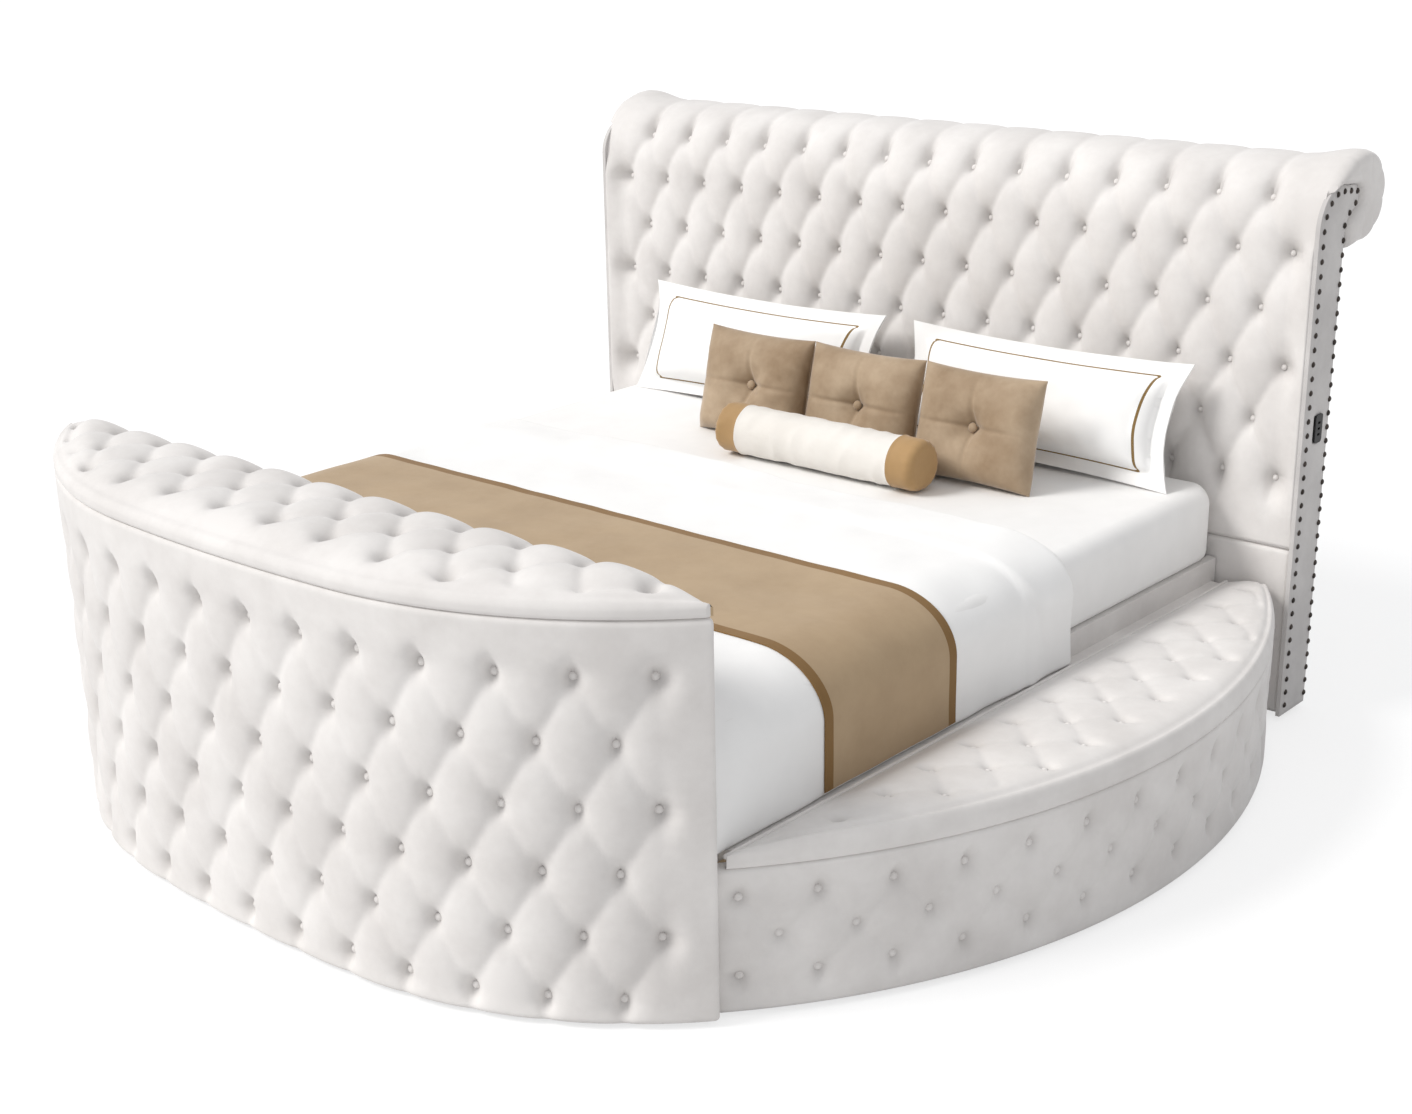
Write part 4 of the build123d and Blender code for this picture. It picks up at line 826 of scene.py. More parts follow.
@dataclass(frozen=True)
class FootOutline:
    """The footboard's outer face in plan: a long flat arc with a tighter one at each end."""

    half_width: float = 1.025
    front_reach: float = 0.340
    front_radius: float = 4.6
    front_y: float = -1.359
    inner_y: float = -1.002
    end_blend: float = 0.075

    @cached_property
    def turn(self) -> float:
        """Angle at which the front arc meets the end arc."""
        return math.asin(self.front_reach / self.front_radius)

    @cached_property
    def front_centre_y(self) -> float:
        """Y of the front arc's centre."""
        return self.front_y + self.front_radius

    @cached_property
    def joint(self) -> tuple[float, float]:
        """Place at which the front arc meets the end arc."""
        return self.front_reach, self.front_centre_y - self.front_radius * math.cos(self.turn)

    @cached_property
    def end_radius(self) -> float:
        """Radius of the end arc that touches the front arc and ends at the half width."""
        across, along = self.half_width - self.joint[0], self.inner_y - self.joint[1]
        facing = along * math.cos(self.turn) - across * math.sin(self.turn)
        return (across**2 + along**2) / (2 * facing)

    @cached_property
    def end_centre(self) -> tuple[float, float]:
        """Centre of the end arc."""
        x, y = self.joint
        return x - self.end_radius * math.sin(self.turn), y + self.end_radius * math.cos(self.turn)

    def end_turn(self, inset: Array | float) -> Array:
        """Angle at which the end arc meets the inner line, at an inset."""
        return np.arccos((self.end_centre[1] - self.inner_y) / (self.end_radius - inset))

    @cached_property
    def front_half(self) -> float:
        """Half the front arc's length."""
        return self.front_radius * self.turn

    @cached_property
    def half(self) -> float:
        """Half the whole outline's length."""
        return self.front_half + self.end_radius * float(self.end_turn(0.0) - self.turn)

    def at(self, length: Array, inset: Array) -> tuple[Array, Array]:
        """Points on both arcs: centre + (radius - inset) * (sin, -cos) of the angle walked.

        Args:
            length: Distance along from the middle.
            inset: Distance inwards from the outer face.

        Returns:
            X and Y.
        """
        along = np.abs(length)
        front_angle = along / self.front_radius
        near = np.clip(1 - (self.half - along) / self.end_blend, 0, None)
        end_angle = self.turn + (along - self.front_half) / self.end_radius
        end_angle = end_angle + near * (self.end_turn(inset) - self.end_turn(0.0))
        front = along <= self.front_half
        angle = np.where(front, front_angle, end_angle)
        radius = np.where(front, self.front_radius - inset, self.end_radius - inset)
        x = np.where(front, 0.0, self.end_centre[0]) + radius * np.sin(angle)
        y = np.where(front, self.front_centre_y, self.end_centre[1]) - radius * np.cos(angle)
        return np.where(length < 0, -x, x), y

    def front_at(self, x: Array, inset: float = 0.0) -> Array:
        """The outline's Y across the bed, held at the inner line where it has ended.

        On each arc Y is centre_y - sqrt((radius - inset)^2 - (|x| - centre_x)^2).

        Args:
            x: Places across the bed.
            inset: Distance inwards from the outer face.

        Returns:
            Y at each place.
        """
        reach = np.abs(x)
        limit = (self.front_radius - inset) * math.sin(self.turn)
        flat = self.front_centre_y - np.sqrt((self.front_radius - inset) ** 2 - reach**2)
        side = np.clip((self.end_radius - inset) ** 2 - (reach - self.end_centre[0]) ** 2, 0, None)
        return np.minimum(np.where(reach <= limit, flat, self.end_centre[1] - np.sqrt(side)), self.inner_y)


@dataclass(frozen=True)
class BenchOutline:
    """A bench's outer face in plan, on the right side: one arc from a pointed foot end to the headboard."""

    reach: float = 1.4135
    tip_x: float = 0.9863
    centre_y: float = 0.093
    foot_y: float = -1.0005
    head_y: float = 1.027
    hollow_x: float = 0.9773
    tuft_depth: float = 0.024
    pad_base: float = 0.008
    end_blend: float = 0.045

    @cached_property
    def radius(self) -> float:
        """Radius of the outer face."""
        bulge, half_chord = self.reach - self.tip_x, self.centre_y - self.foot_y
        return (bulge**2 + half_chord**2) / (2 * bulge)

    @cached_property
    def centre_x(self) -> float:
        """X of the arc's centre."""
        return self.reach - self.radius

    @cached_property
    def low_radius(self) -> float:
        """Radius on which the buttons' pits lie."""
        return self.radius - self.tuft_depth

    def foot_angle(self, radius: Array | float) -> Array:
        """Angle at which a radius meets the line across the foot end.

        The line runs from the outer arc's foot end to the hollow's corner. On it the place at the radius
        solves |first + share * way| = radius, a quadratic equation in the share.

        Args:
            radius: Distances from the arc's centre.

        Returns:
            The angles.
        """
        rise = self.foot_y - self.centre_y
        first = np.array([math.sqrt(self.radius**2 - rise**2), rise])
        back_radius = self.low_radius - self.pad_base
        inner_x = self.hollow_x - self.centre_x
        second = np.array([inner_x, -math.sqrt(back_radius**2 - inner_x**2)])
        way = second - first
        a, b = way @ way, 2 * way @ first
        c = first @ first - np.asarray(radius) ** 2
        share = (-b - np.sqrt(b * b - 4 * a * c)) / (2 * a)
        return np.arctan2(first[1] + share * way[1], first[0] + share * way[0])

    def head_angle(self, radius: Array | float) -> Array:
        """Angle at which a radius meets the line at the headboard."""
        return np.arcsin((self.head_y - self.centre_y) / np.asarray(radius))

    @cached_property
    def length(self) -> float:
        """Length along the pits' radius."""
        return self.low_radius * float(self.head_angle(self.low_radius) - self.foot_angle(self.low_radius))

    def at(self, length: Array, radius: Array) -> tuple[Array, Array]:
        """Points at a length along the arc and a distance from its centre, drawn to the cuts at its ends.

        Args:
            length: Distance along from the foot end.
            radius: Distance from the centre.

        Returns:
            X and Y.
        """
        angle = self.foot_angle(self.low_radius) + length / self.low_radius
        for cut, way in ((self.foot_angle, length), (self.head_angle, self.length - length)):
            near = np.clip(1 - way / self.end_blend, 0, None)
            angle = angle + near * (cut(radius) - cut(self.low_radius))
        return self.centre_x + radius * np.cos(angle), self.centre_y + radius * np.sin(angle)

    def reach_at(self, y: Array, radius: float) -> Array:
        """The arc's X at a place along the bed."""
        return self.centre_x + np.sqrt(np.clip(radius**2 - (y - self.centre_y) ** 2, 0, None))

    def foot_at(self, x: float) -> float:
        """Y at which the outer arc passes a distance from the bed's middle."""
        return self.centre_y - math.sqrt(self.radius**2 - (x - self.centre_x) ** 2)


@dataclass(frozen=True)
class HeadProfile:
    """Side profile of the headboard: up the front, over the scroll and round under the roll."""

    seam: float = 0.460
    button_y: float = 1.077
    depth: float = 0.040
    front_arc_z: float = 1.243
    roll_y: float = 1.239
    roll_z: float = 1.325
    front_radius: float = 0.202
    roll_radius: float = 0.120

    @property
    def flat(self) -> float:
        """Length of the flat front above the seam."""
        return self.front_arc_z - self.seam

    @property
    def over(self) -> float:
        """Length at which the profile reaches its crest."""
        return self.flat + (self.front_radius - self.depth) * QUARTER_TURN

    @property
    def length(self) -> float:
        """Whole length, to the underside of the roll."""
        return self.over + (self.roll_radius - self.depth) * np.pi

    def at(self, length: Array, height: Array) -> tuple[Array, Array]:
        """Points at a length above the seam and a height over the buttons' line.

        Args:
            length: Distance up from the seam, round the arcs.
            height: Distance out from the buttons' line.

        Returns:
            Y and Z.
        """
        low_front, low_roll = self.front_radius - self.depth, self.roll_radius - self.depth
        front_angle = np.pi - (length - self.flat) / low_front
        roll_angle = QUARTER_TURN - (length - self.over) / low_roll
        on_front = length <= self.over
        angle = np.where(on_front, front_angle, roll_angle)
        radius = np.where(on_front, low_front, low_roll) + height
        centre_z = np.where(on_front, self.front_arc_z, self.roll_z)
        y = self.roll_y + radius * np.cos(angle)
        z = centre_z + radius * np.sin(angle)
        flat = length <= self.flat
        return np.where(flat, self.button_y - height, y), np.where(flat, self.seam + length, z)


# Tufting


@dataclass(frozen=True)
class Lattice:
    """Deep buttoning: rows of buttons, each row shifted by half a pitch from the one before.

    Attributes:
        first: Place of a button in the first row.
        pitch: Distance between buttons in a row.
        rows: Places of the rows, rising.
        low: Lowest place of a button along the rows.
        high: Highest place of a button along the rows.
        dimple: Share of the depth in a round dimple at each button.
        spread: Width over which a dimple fades, in turns of the lattice.
        line: Share of the depth in the pleats between buttons.
        fade: Distance over which the dimples fade beyond the outermost buttons.
        pleat: Share of the depth that pleats keep beyond the last row.
        seat: Share of the relief that is cut off for the button's seat.
    """

    first: float
    pitch: float
    rows: tuple[float, ...]
    low: float
    high: float
    dimple: float = 0.5
    spread: float = 0.4
    line: float = 0.05
    fade: float = 0.06
    pleat: float = 0.0
    seat: float = 0.2

    def relief(self, along: Array, across: Array) -> Array:
        """Height of the padding, from 0 in the pits to 1 on the diamonds.

        With p and q the two diagonal coordinates that are whole at buttons, a = |sin(pi p)| and
        b = |sin(pi q)|, rounded near 0. The padding drops by dimple * exp(-sqrt(a^2 + b^2) / spread) at
        a button, by line * exp(-(min(a, b) / 0.2)^2) in a pleat, and over a diamond by the rest of the
        depth times 1 - (a b)^0.8. What lies over the seat's share is stretched to the whole height, and
        the drops fade as a bell beyond the outermost buttons.

        Args:
            along: Places along the rows.
            across: Places across the rows.

        Returns:
            The height's share of the depth.
        """
        across, along = np.broadcast_arrays(across, along)
        row = np.interp(across, self.rows, np.arange(len(self.rows)))
        place = np.clip(along, self.low, self.high)
        step = (place - self.first) / self.pitch
        soft = 0.12
        a, b = (
            (np.sqrt(np.sin(np.pi * turn) ** 2 + soft**2) - soft) / (math.sqrt(1 + soft**2) - soft)
            for turn in (step + row / 2, row / 2 - step)
        )
        crown = 1 - self.dimple - self.line
        drop = self.dimple * np.exp(-np.hypot(a, b) / self.spread) + crown * (1 - (a * b) ** 0.8)
        drop = drop + self.line * bell(np.minimum(a, b), 0.2)
        height = np.clip((1 - drop - self.seat) / (1 - self.seat), 0, 1)
        under, over = self.rows[0] - across, across - self.rows[-1]
        past = np.clip(np.maximum(under, over), 0, None)
        kept = bell(past, self.fade)
        kept = np.where(over > 0, self.pleat + (1 - self.pleat) * kept, kept)
        kept = kept * bell(along - place, self.fade)
        return 1 - (1 - height) * kept

    def buttons(self) -> tuple[Array, Array]:
        """Places of the buttons along and across the rows.

        Returns:
            Places along the rows, and across them.
        """
        along, across = [], []
        for number, level in enumerate(self.rows):
            start = self.first + self.pitch * number / 2
            low = math.ceil((self.low - start) / self.pitch - 1e-6)
            high = math.floor((self.high - start) / self.pitch + 1e-6)
            steps = start + self.pitch * np.arange(low, high + 1)
            along.append(steps)
            across.append(np.full(len(steps), level))
        return np.concatenate(along), np.concatenate(across)


def button_mesh(name: str, origins: Array, facings: Array, radius: float) -> bpy.types.Object:
    """Covered buttons: a domed cap with a rounded rim, turned in under, at each pit.

    Args:
        name: The piece's name.
        origins: Bottoms of the pits.
        facings: Directions that the buttons face.
        radius: A button's radius.

    Returns:
        One object with all the buttons.
    """
    # Radius and height of the rings, as shares of the button's radius
    profile = np.array([(0.10, 0.66), (0.42, 0.60), (0.72, 0.46), (0.92, 0.27), (1.0, 0.08),
                        (0.94, -0.08), (0.6, -0.2)])
    lift = 0.22
    turns = np.linspace(0, 2 * np.pi, 14, endpoint=False)
    facings = facings / np.linalg.norm(facings, axis=1, keepdims=True)
    helper = np.where(np.abs(facings[:, 2:]) > 0.9, np.array([[1.0, 0, 0]]), np.array([[0, 0, 1.0]]))
    first = np.cross(helper, facings)
    first /= np.linalg.norm(first, axis=1, keepdims=True)
    second = np.cross(facings, first)
    around = first[:, None] * np.cos(turns)[None, :, None] + second[:, None] * np.sin(turns)[None, :, None]
    width, height = profile[:, 0, None, None], profile[:, 1, None, None] + lift
    rings = origins[:, None, None] + radius * (width * around[:, None] + height * facings[:, None, None])
    size = len(turns)
    quads = lattice_quads(len(profile), size, True)
    caps = np.stack([np.arange(size)[::-1], np.arange(size) + (len(profile) - 1) * size])
    shift = (np.arange(len(origins)) * len(profile) * size)[:, None, None]
    faces = [(quads[None] + shift).reshape(-1, 4), (caps[None] + shift).reshape(-1, size)]
    return mesh_object(name, rings.reshape(-1, 3), faces, 80)


def welt(name: str, start: Array, end: Array, radius: float) -> bpy.types.Object:
    """A straight round welt with rounded ends, as it covers a hinge's knuckles.

    Args:
        name: The piece's name.
        start: One end of its middle line.
        end: The other end.
        radius: Its radius.

    Returns:
        The new object.
    """
    length = float(np.linalg.norm(end - start))
    ahead = (end - start) / length
    places = marks(0, length, 0.03, radius)
    width = radius - rolled(np.minimum(places, length - places), radius * 0.98)
    level = np.array([0, 0, 1.0])
    turns = np.linspace(0, 2 * np.pi, 16, endpoint=False)
    across = np.cos(turns)[:, None] * np.cross(ahead, level) + np.sin(turns)[:, None] * level
    middle = start + places[:, None] * ahead
    return shell(name, middle[:, None] + width[:, None, None] * across[None], 70)


def wall_edges(marks_along: Array, marks_up: Array, roll: float) -> Array:
    """Fall of a wall's face at its four rolled edges.

    Args:
        marks_along: Places along the wall.
        marks_up: Places up the wall.
        roll: Radius of the edges.

    Returns:
        The fall, by place along and up.
    """
    ends = np.minimum(marks_along - marks_along[0], marks_along[-1] - marks_along)
    sides = np.minimum(marks_up - marks_up[0], marks_up[-1] - marks_up)
    return rolled(ends, roll)[:, None] + rolled(sides, roll)[None, :]


def flat_pad(name: str, across: Array, up: Array, face: Array, back: float) -> bpy.types.Object:
    """A pad standing across the bed: a face with a Y at each point, in front of a plain back.

    Args:
        name: The piece's name.
        across: Places across the bed.
        up: Heights, rising.
        face: Y of the face, by place across and height.
        back: Y of the back.

    Returns:
        The new object.
    """
    front = stacked(across[:, None], face, up[None, :])
    rear = stacked(across[:, None], back, np.array([up[-1], up[0]])[None, :])
    return shell(name, np.concatenate([front, rear], axis=1))


def tufted_wall(name: str, box: Footboard | Bench, ends: tuple[float, float], depth: float,
                back: float) -> bpy.types.Object:
    """A tufted wall: its face, depth * relief less the rolled edges, in front of a plain back.

    Args:
        name: The piece's name.
        box: The footboard or bench that it stands round.
        ends: First and last place along it.
        depth: Depth of the padding.
        back: How far the back lies behind the pits.

    Returns:
        The new object.
    """
    along = marks(*ends, box.step, box.roll)
    up = marks(Bed.foot_level, box.seam - Bed.gap, box.step, box.roll)
    s, t = along[:, None], up[None, :]
    relief = box.lattice.relief(s, t)
    height = depth * relief - wall_edges(along, up, box.roll)
    front = box.wall_point(s, t, np.maximum(height, -Bed.edge_sink))
    rear = box.wall_point(s, np.array([up[-1], up[0]])[None, :], np.full((1, 1), -back))
    return shell(name, np.concatenate([front, rear], axis=1), relief=relief)


def seats(lattice: Lattice, point: Callable[[Array, Array, Array], Array]) -> tuple[Array, Array]:
    """Where buttons sit in the pits of a padded face.

    Args:
        lattice: The buttons.
        point: Turns places along and across, and a height over the pits, into points.

    Returns:
        The bottoms of the pits and the directions out of them.
    """
    along, across = lattice.buttons()
    low, high = (point(along, across, np.full(len(along), height)) for height in (0.0, 1.0))
    return low, high - low


def dress(piece: bpy.types.Object, material: bpy.types.Material, *nodes: str, slot: Slot = Slot.VELVET,
          body: str = "root", fill: float | None = 0.7) -> bpy.types.Object:
    """Gives a piece its material and its body, and hides the nodes it stands for.

    Args:
        piece: The piece.
        material: Its material.
        nodes: The nodes that it replaces.
        slot: The record's slot; not used.
        body: The body that it rides on.
        fill: How full a padded piece is, or None for a piece that isn't padded; not used.

    Returns:
        The piece.
    """
    piece.data.materials.append(material)
    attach(piece, body)
    if nodes:
        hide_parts(*nodes)
    count = sum(len(face.vertices) - 2 for face in piece.data.polygons)
    log.info("%s: %d triangles", piece.name, count)
    return piece


@dataclass(frozen=True)
class Footboard:
    """The curved footboard: tufted wall, plain inner pad and tufted lid."""

    outline: FootOutline = FootOutline()
    seam: float = 0.848
    depth: float = 0.034
    back: float = 0.007
    roll: float = 0.014
    pitch: float = 0.1556
    first_row: float = 0.055
    row_pitch: float = 0.1346
    row_count: int = 6
    step: float = 0.0062
    crown: float = 0.074
    low_edge: float = 0.026
    outer_shoulder: float = 0.110
    inner_shoulder: float = 0.060
    end_shoulder: float = 0.150
    tip: float = 0.014
    lid_pitch: float = 0.165
    lid_rows: tuple[float, ...] = (0.052, 0.148, 0.244)
    lid_depth: float = 0.034
    lid_margin: float = 0.052
    pad_depth: float = 0.012
    lid_border: tuple[float, float] = (0.024, 0.058)
    pad_inset: float = 0.066
    pad_step: float = 0.02
    pad_roll: float = 0.008
    lid_button: float = 0.00759
    hinge: tuple[float, float] = (-0.9974, 0.848)

    @property
    def lattice(self) -> Lattice:
        """The wall's buttons."""
        rows = tuple(self.first_row + self.row_pitch * i for i in range(self.row_count))
        reach = self.pitch / 2 * 13
        return Lattice(0.0, self.pitch, rows, -reach, reach, dimple=0.80, spread=0.36, line=0.04,
                       fade=0.03, seat=0.12)

    @property
    def lid_lattice(self) -> Lattice:
        """The lid's buttons, across the lid from its inner edge."""
        reach = self.outline.half_width
        return Lattice(self.lid_pitch / 2, self.lid_pitch, self.lid_rows, -reach, reach, dimple=0.74,
                       spread=0.42, line=0.05, fade=0.034, seat=0.08)

    def wall_point(self, along: Array, up: Array, height: Array) -> Array:
        """Points of the wall's face at a height over the pits."""
        x, y = self.outline.at(along, self.depth - height)
        return stacked(x, y, up)

    def wall(self) -> bpy.types.Object:
        """The tufted wall, from one end of the outline to the other."""
        ends = (-self.outline.half, self.outline.half)
        return tufted_wall("footboard_wall", self, ends, self.depth, self.back)

    def wall_buttons(self) -> bpy.types.Object:
        """The wall's covered buttons."""
        return button_mesh("footboard_wall_buttons", *seats(self.lattice, self.wall_point), Bed.wall_button)

    def lid_height(self, x: Array, y: Array) -> Array:
        """Height of the lid over the seam.

        The crown is an outer, an inner and an end shoulder multiplied. The buttons' pits and the rolled
        edges are taken off it, and a welt with a groove beside it runs along the outer edge.

        Args:
            x: Places across the bed.
            y: Places along the bed.

        Returns:
            The height at each place.
        """
        out = y - self.outline.front_at(x)
        back = self.outline.inner_y - y
        end = self.outline.half_width - np.abs(x)
        rise = sine_rise(out, self.outer_shoulder) * np.sqrt(sine_rise(back, self.inner_shoulder))
        base = self.low_edge + (self.crown - self.low_edge) * rise * sine_rise(end, self.end_shoulder)
        inside = smooth_step(out, *self.lid_border) * smooth_step(end, 0.03, 0.09)
        pits = (1 - self.lid_lattice.relief(x, back)) * inside * self.lid_depth
        welt = 0.0012 * bell(out - 0.010, 0.005) - 0.0016 * bell(out - 0.022, 0.006)
        return base - pits + welt - rolled(out, 0.010) - rolled(back, 0.016)

    def lid(self) -> bpy.types.Object:
        """The lid's cushion: rings across it, over the board and down at its outer edge.

        Returns:
            The new object.
        """
        reach = self.outline.half_width - self.tip
        x = marks(-reach, reach, self.step)[:, None]
        outer = self.outline.front_at(x)
        inner = np.full_like(outer, self.outline.inner_y)
        share = marks(0, 1, 1 / 66, 0.05)[None, :]
        y = inner + (outer - inner) * share
        top = stacked(x, y, self.seam + self.lid_height(x, y))
        edge = top[:, -1, 2:3]
        board_y = self.outline.front_at(x, Bed.lid_cover)
        under = self.seam + Bed.lid_board
        rim = [(outer, (edge + self.seam) / 2), (outer + 0.0006, self.seam + 0.004),
               (outer + 0.003, self.seam), (board_y, self.seam), (board_y, under), (inner, under)]
        lower = np.concatenate([stacked(x, a, np.broadcast_to(b, x.shape)) for a, b in rim], axis=1)
        # Relief for the attribute pit only: painted shade in the lid's pits
        relief = self.lid_lattice.relief(x, self.outline.inner_y - y)
        relief = 1 - (1 - relief) * smooth_step(y - outer, *self.lid_border)
        return shell("footboard_lid_cushion", np.concatenate([top, lower], axis=1), 60, relief)

    def lid_buttons(self) -> bpy.types.Object:
        """The lid's covered buttons, deep in their pits, where these lie inside its margins.

        Returns:
            The new object.
        """
        x, back = self.lid_lattice.buttons()
        y = self.outline.inner_y - back
        inside = y - self.outline.front_at(x) > self.lid_margin
        inside &= np.abs(x) < self.outline.half_width - self.end_shoulder / 2
        x, y = x[inside], y[inside]
        low = stacked(x, y, self.seam + self.lid_height(x, y))
        up = np.tile([0, 0, 1.0], (len(x), 1))
        return button_mesh("footboard_lid_buttons", low, up, self.lid_button)

    def inner_pad(self) -> bpy.types.Object:
        """The plain pad on the mattress side: a face with a soft rolled edge.

        Returns:
            The new object.
        """
        reach = self.outline.half_width - self.pad_inset
        along = marks(-reach, reach, self.pad_step, self.pad_roll)
        up = marks(Bed.foot_level, self.seam - Bed.gap, self.pad_step, self.pad_roll)
        fall = wall_edges(along, up, self.pad_roll)
        soft = Creases(11, 6, 0.35, 0.9).at(along[:, None], up[None, :]) * 0.0006
        y = self.outline.inner_y - np.clip(fall + np.abs(soft), 0, self.pad_depth * 0.9)
        return flat_pad("footboard_inner_lining", along, up, y, self.outline.inner_y - self.pad_depth)

    def build(self, velvet: bpy.types.Material) -> None:
        """Makes and dresses every piece of the footboard.

        Args:
            velvet: The upholstery's material.
        """
        dress(self.wall(), velvet, "footboard_tufting", fill=0.8)
        dress(self.wall_buttons(), velvet, "footboard_buttons", fill=None)
        dress(self.inner_pad(), velvet, "footboard_inner_pad")
        dress(self.lid(), velvet, "foot_lid_cushion", body="foot_lid", fill=0.8)
        dress(self.lid_buttons(), velvet, "foot_lid_buttons", body="foot_lid", fill=None)
        reach = self.outline.half_width - 2 * self.tip
        ends = [np.array([side * reach, *self.hinge]) for side in (-1.0, 1.0)]
        dress(welt("footboard_lid_welt", *ends, Bed.welt_radius), velvet, body="foot_lid", fill=1.0)


@dataclass(frozen=True)
class Bench:
    """One side bench: tufted wall and a low tufted lid."""

    side: Side
    outline: BenchOutline = BenchOutline()
    seam: float = 0.325
    pitch: float = 0.157
    rows: tuple[float, ...] = (0.084, 0.169, 0.254)
    first_button: float = 0.046
    roll: float = 0.012
    step: float = 0.0058
    inner_x: float = 1.0102
    lid_head_y: float = 1.0255
    tip: float = 0.002
    crown: float = 0.048
    outer_rise: float = 0.018
    inner_rise: float = 0.007
    lid_pitch: float = 0.152
    first_lid_row: float = 1.121
    lid_row_pitch: float = 0.086
    lid_depth: float = 0.018
    lid_margin: float = 0.055
    lid_border: tuple[float, float] = (0.03, 0.055)
    inner_shoulder: float = 0.132
    outer_shoulder: float = 0.070
    head_shoulder: float = 0.130
    lid_button: float = 0.00644
    hinge: tuple[float, float] = (1.005, 0.3479)

    @property
    def lattice(self) -> Lattice:
        """The wall's buttons."""
        lines = math.floor((self.outline.length - 2 * self.roll - self.first_button) / (self.pitch / 2))
        high = self.first_button + lines * self.pitch / 2
        return Lattice(self.first_button, self.pitch, self.rows, self.first_button, high, dimple=0.80,
                       spread=0.36, line=0.06, fade=0.03, seat=0.06)

    @property
    def lid_lattice(self) -> Lattice:
        """The lid's buttons."""
        rows = tuple(self.first_lid_row + self.lid_row_pitch * i for i in range(3))
        return Lattice(0.0, self.lid_pitch, rows, -2.0, 2.0, dimple=0.84, spread=0.32,
                       line=0.05, fade=0.03, seat=0.1)

    def placed(self, points: Array) -> Array:
        """Points of the right bench on this bench's side."""
        return points * np.array([self.side.value, 1, 1])

    def wall_point(self, along: Array, up: Array, height: Array) -> Array:
        """Points of the wall's face at a height over the pits."""
        x, y = self.outline.at(along, self.outline.low_radius + height)
        return self.placed(stacked(x, y, up))

    def wall(self) -> bpy.types.Object:
        """The tufted wall, from the foot end to the headboard."""
        outline, name = self.outline, f"{self.side.word}_bench_wall"
        return tufted_wall(name, self, (0.0, outline.length), outline.tuft_depth, outline.pad_base)

    def lid_height(self, x: Array, y: Array) -> Array:
        """Height of the lid over its board.

        A low slope rises to the outer edge, and an inner, an outer and a head shoulder multiplied lift
        it to the crown. The pits and the rolled edges are taken off, and a welt with a groove beside it
        runs along the outer edge.

        Args:
            x: Places across the bed, on its right side.
            y: Places along the bed.

        Returns:
            The height at each place.
        """
        inward = x - self.inner_x
        out = self.outline.reach_at(y, self.outline.radius) - x
        head = self.lid_head_y - y
        low = self.inner_rise + (self.outer_rise - self.inner_rise) * inward / np.maximum(inward + out, 0.001)
        rise = sine_rise(inward, self.inner_shoulder) * np.sqrt(sine_rise(out, self.outer_shoulder))
        base = low + (self.crown - low) * rise * np.sqrt(sine_rise(head + Bed.lid_cover, self.head_shoulder))
        inside = smooth_step(out, *self.lid_border) * smooth_step(inward, 0.05, 0.09)
        inside = inside * smooth_step(head, 0.02, 0.06)
        pits = (1 - self.lid_lattice.relief(y, x)) * inside * self.lid_depth
        welt = 0.0024 * bell(out - 0.010, 0.005) - 0.0026 * bell(out - 0.021, 0.005)
        return base - pits + welt - rolled(out, 0.009) - np.minimum(rolled(head, 0.012), low)

    def lid(self) -> bpy.types.Object:
        """The lid's cushion: rings across it, over the board and down at its outer edge.

        Returns:
            The new object.
        """
        y = marks(self.outline.foot_at(self.inner_x + self.tip), self.lid_head_y, self.step)[:, None]
        outer = self.outline.reach_at(y, self.outline.radius)
        inner = np.full_like(outer, self.inner_x)
        share = marks(0, 1, 1 / 64, 0.05)[None, :]
        x = inner + (outer - inner) * share
        top_level = self.seam + Bed.lid_board
        top = stacked(x, y, top_level + self.lid_height(x, y))
        edge = top[:, -1, 2:3]
        board_x = np.maximum(self.outline.reach_at(y, self.outline.radius - Bed.lid_cover), self.inner_x)
        rim = [(outer, (edge + self.seam) / 2), (outer - 0.0006, self.seam + 0.004),
               (outer - 0.003, self.seam), (board_x, self.seam), (board_x, top_level), (inner, top_level)]
        lower = np.concatenate([stacked(a, y, np.broadcast_to(b, y.shape)) for a, b in rim], axis=1)
        rings = self.placed(np.concatenate([top, lower], axis=1))
        # Relief for the attribute pit only: painted shade in the lid's pits
        relief = 1 - (1 - self.lid_lattice.relief(y, x)) * smooth_step(outer - x, *self.lid_border)
        return shell(f"{self.side.word}_bench_lid_cushion", rings, 60, relief)

    def lid_buttons(self) -> bpy.types.Object:
        """The lid's small covered buttons, inside its margins.

        Returns:
            The new object.
        """
        y, x = self.lid_lattice.buttons()
        margin = self.lid_margin
        inside = (y > self.outline.foot_at(self.inner_x) + margin) & (y < self.lid_head_y - margin)
        inside &= self.outline.reach_at(y, self.outline.radius) - x > margin
        inside &= np.abs(y - self.outline.centre_y) < self.outline.radius
        x, y = x[inside], y[inside]
        low = self.placed(stacked(x, y, self.seam + Bed.lid_board + self.lid_height(x, y)))
        up = np.tile([0, 0, 1.0], (len(x), 1))
        return button_mesh(f"{self.side.word}_bench_lid_buttons", low, up, self.lid_button)

    def build(self, velvet: bpy.types.Material) -> None:
        """Makes and dresses the bench's wall and lid.

        Args:
            velvet: The upholstery's material.
        """
        word = self.side.word
        body = f"{word}_lid"
        dress(self.wall(), velvet, f"{word}_bench_tufting", fill=0.8)
        dress(self.lid(), velvet, f"{word}_lid_cushion", body=body, fill=0.8)
        dress(self.lid_buttons(), velvet, f"{word}_lid_buttons", body=body, fill=None)
        places = (self.outline.foot_at(self.inner_x + self.tip), self.lid_head_y)
        ends = [self.placed(np.array([self.hinge[0], y, self.hinge[1]])) for y in places]
        dress(welt(f"{word}_bench_lid_welt", *ends, Bed.welt_radius), velvet, body=body, fill=1.0)


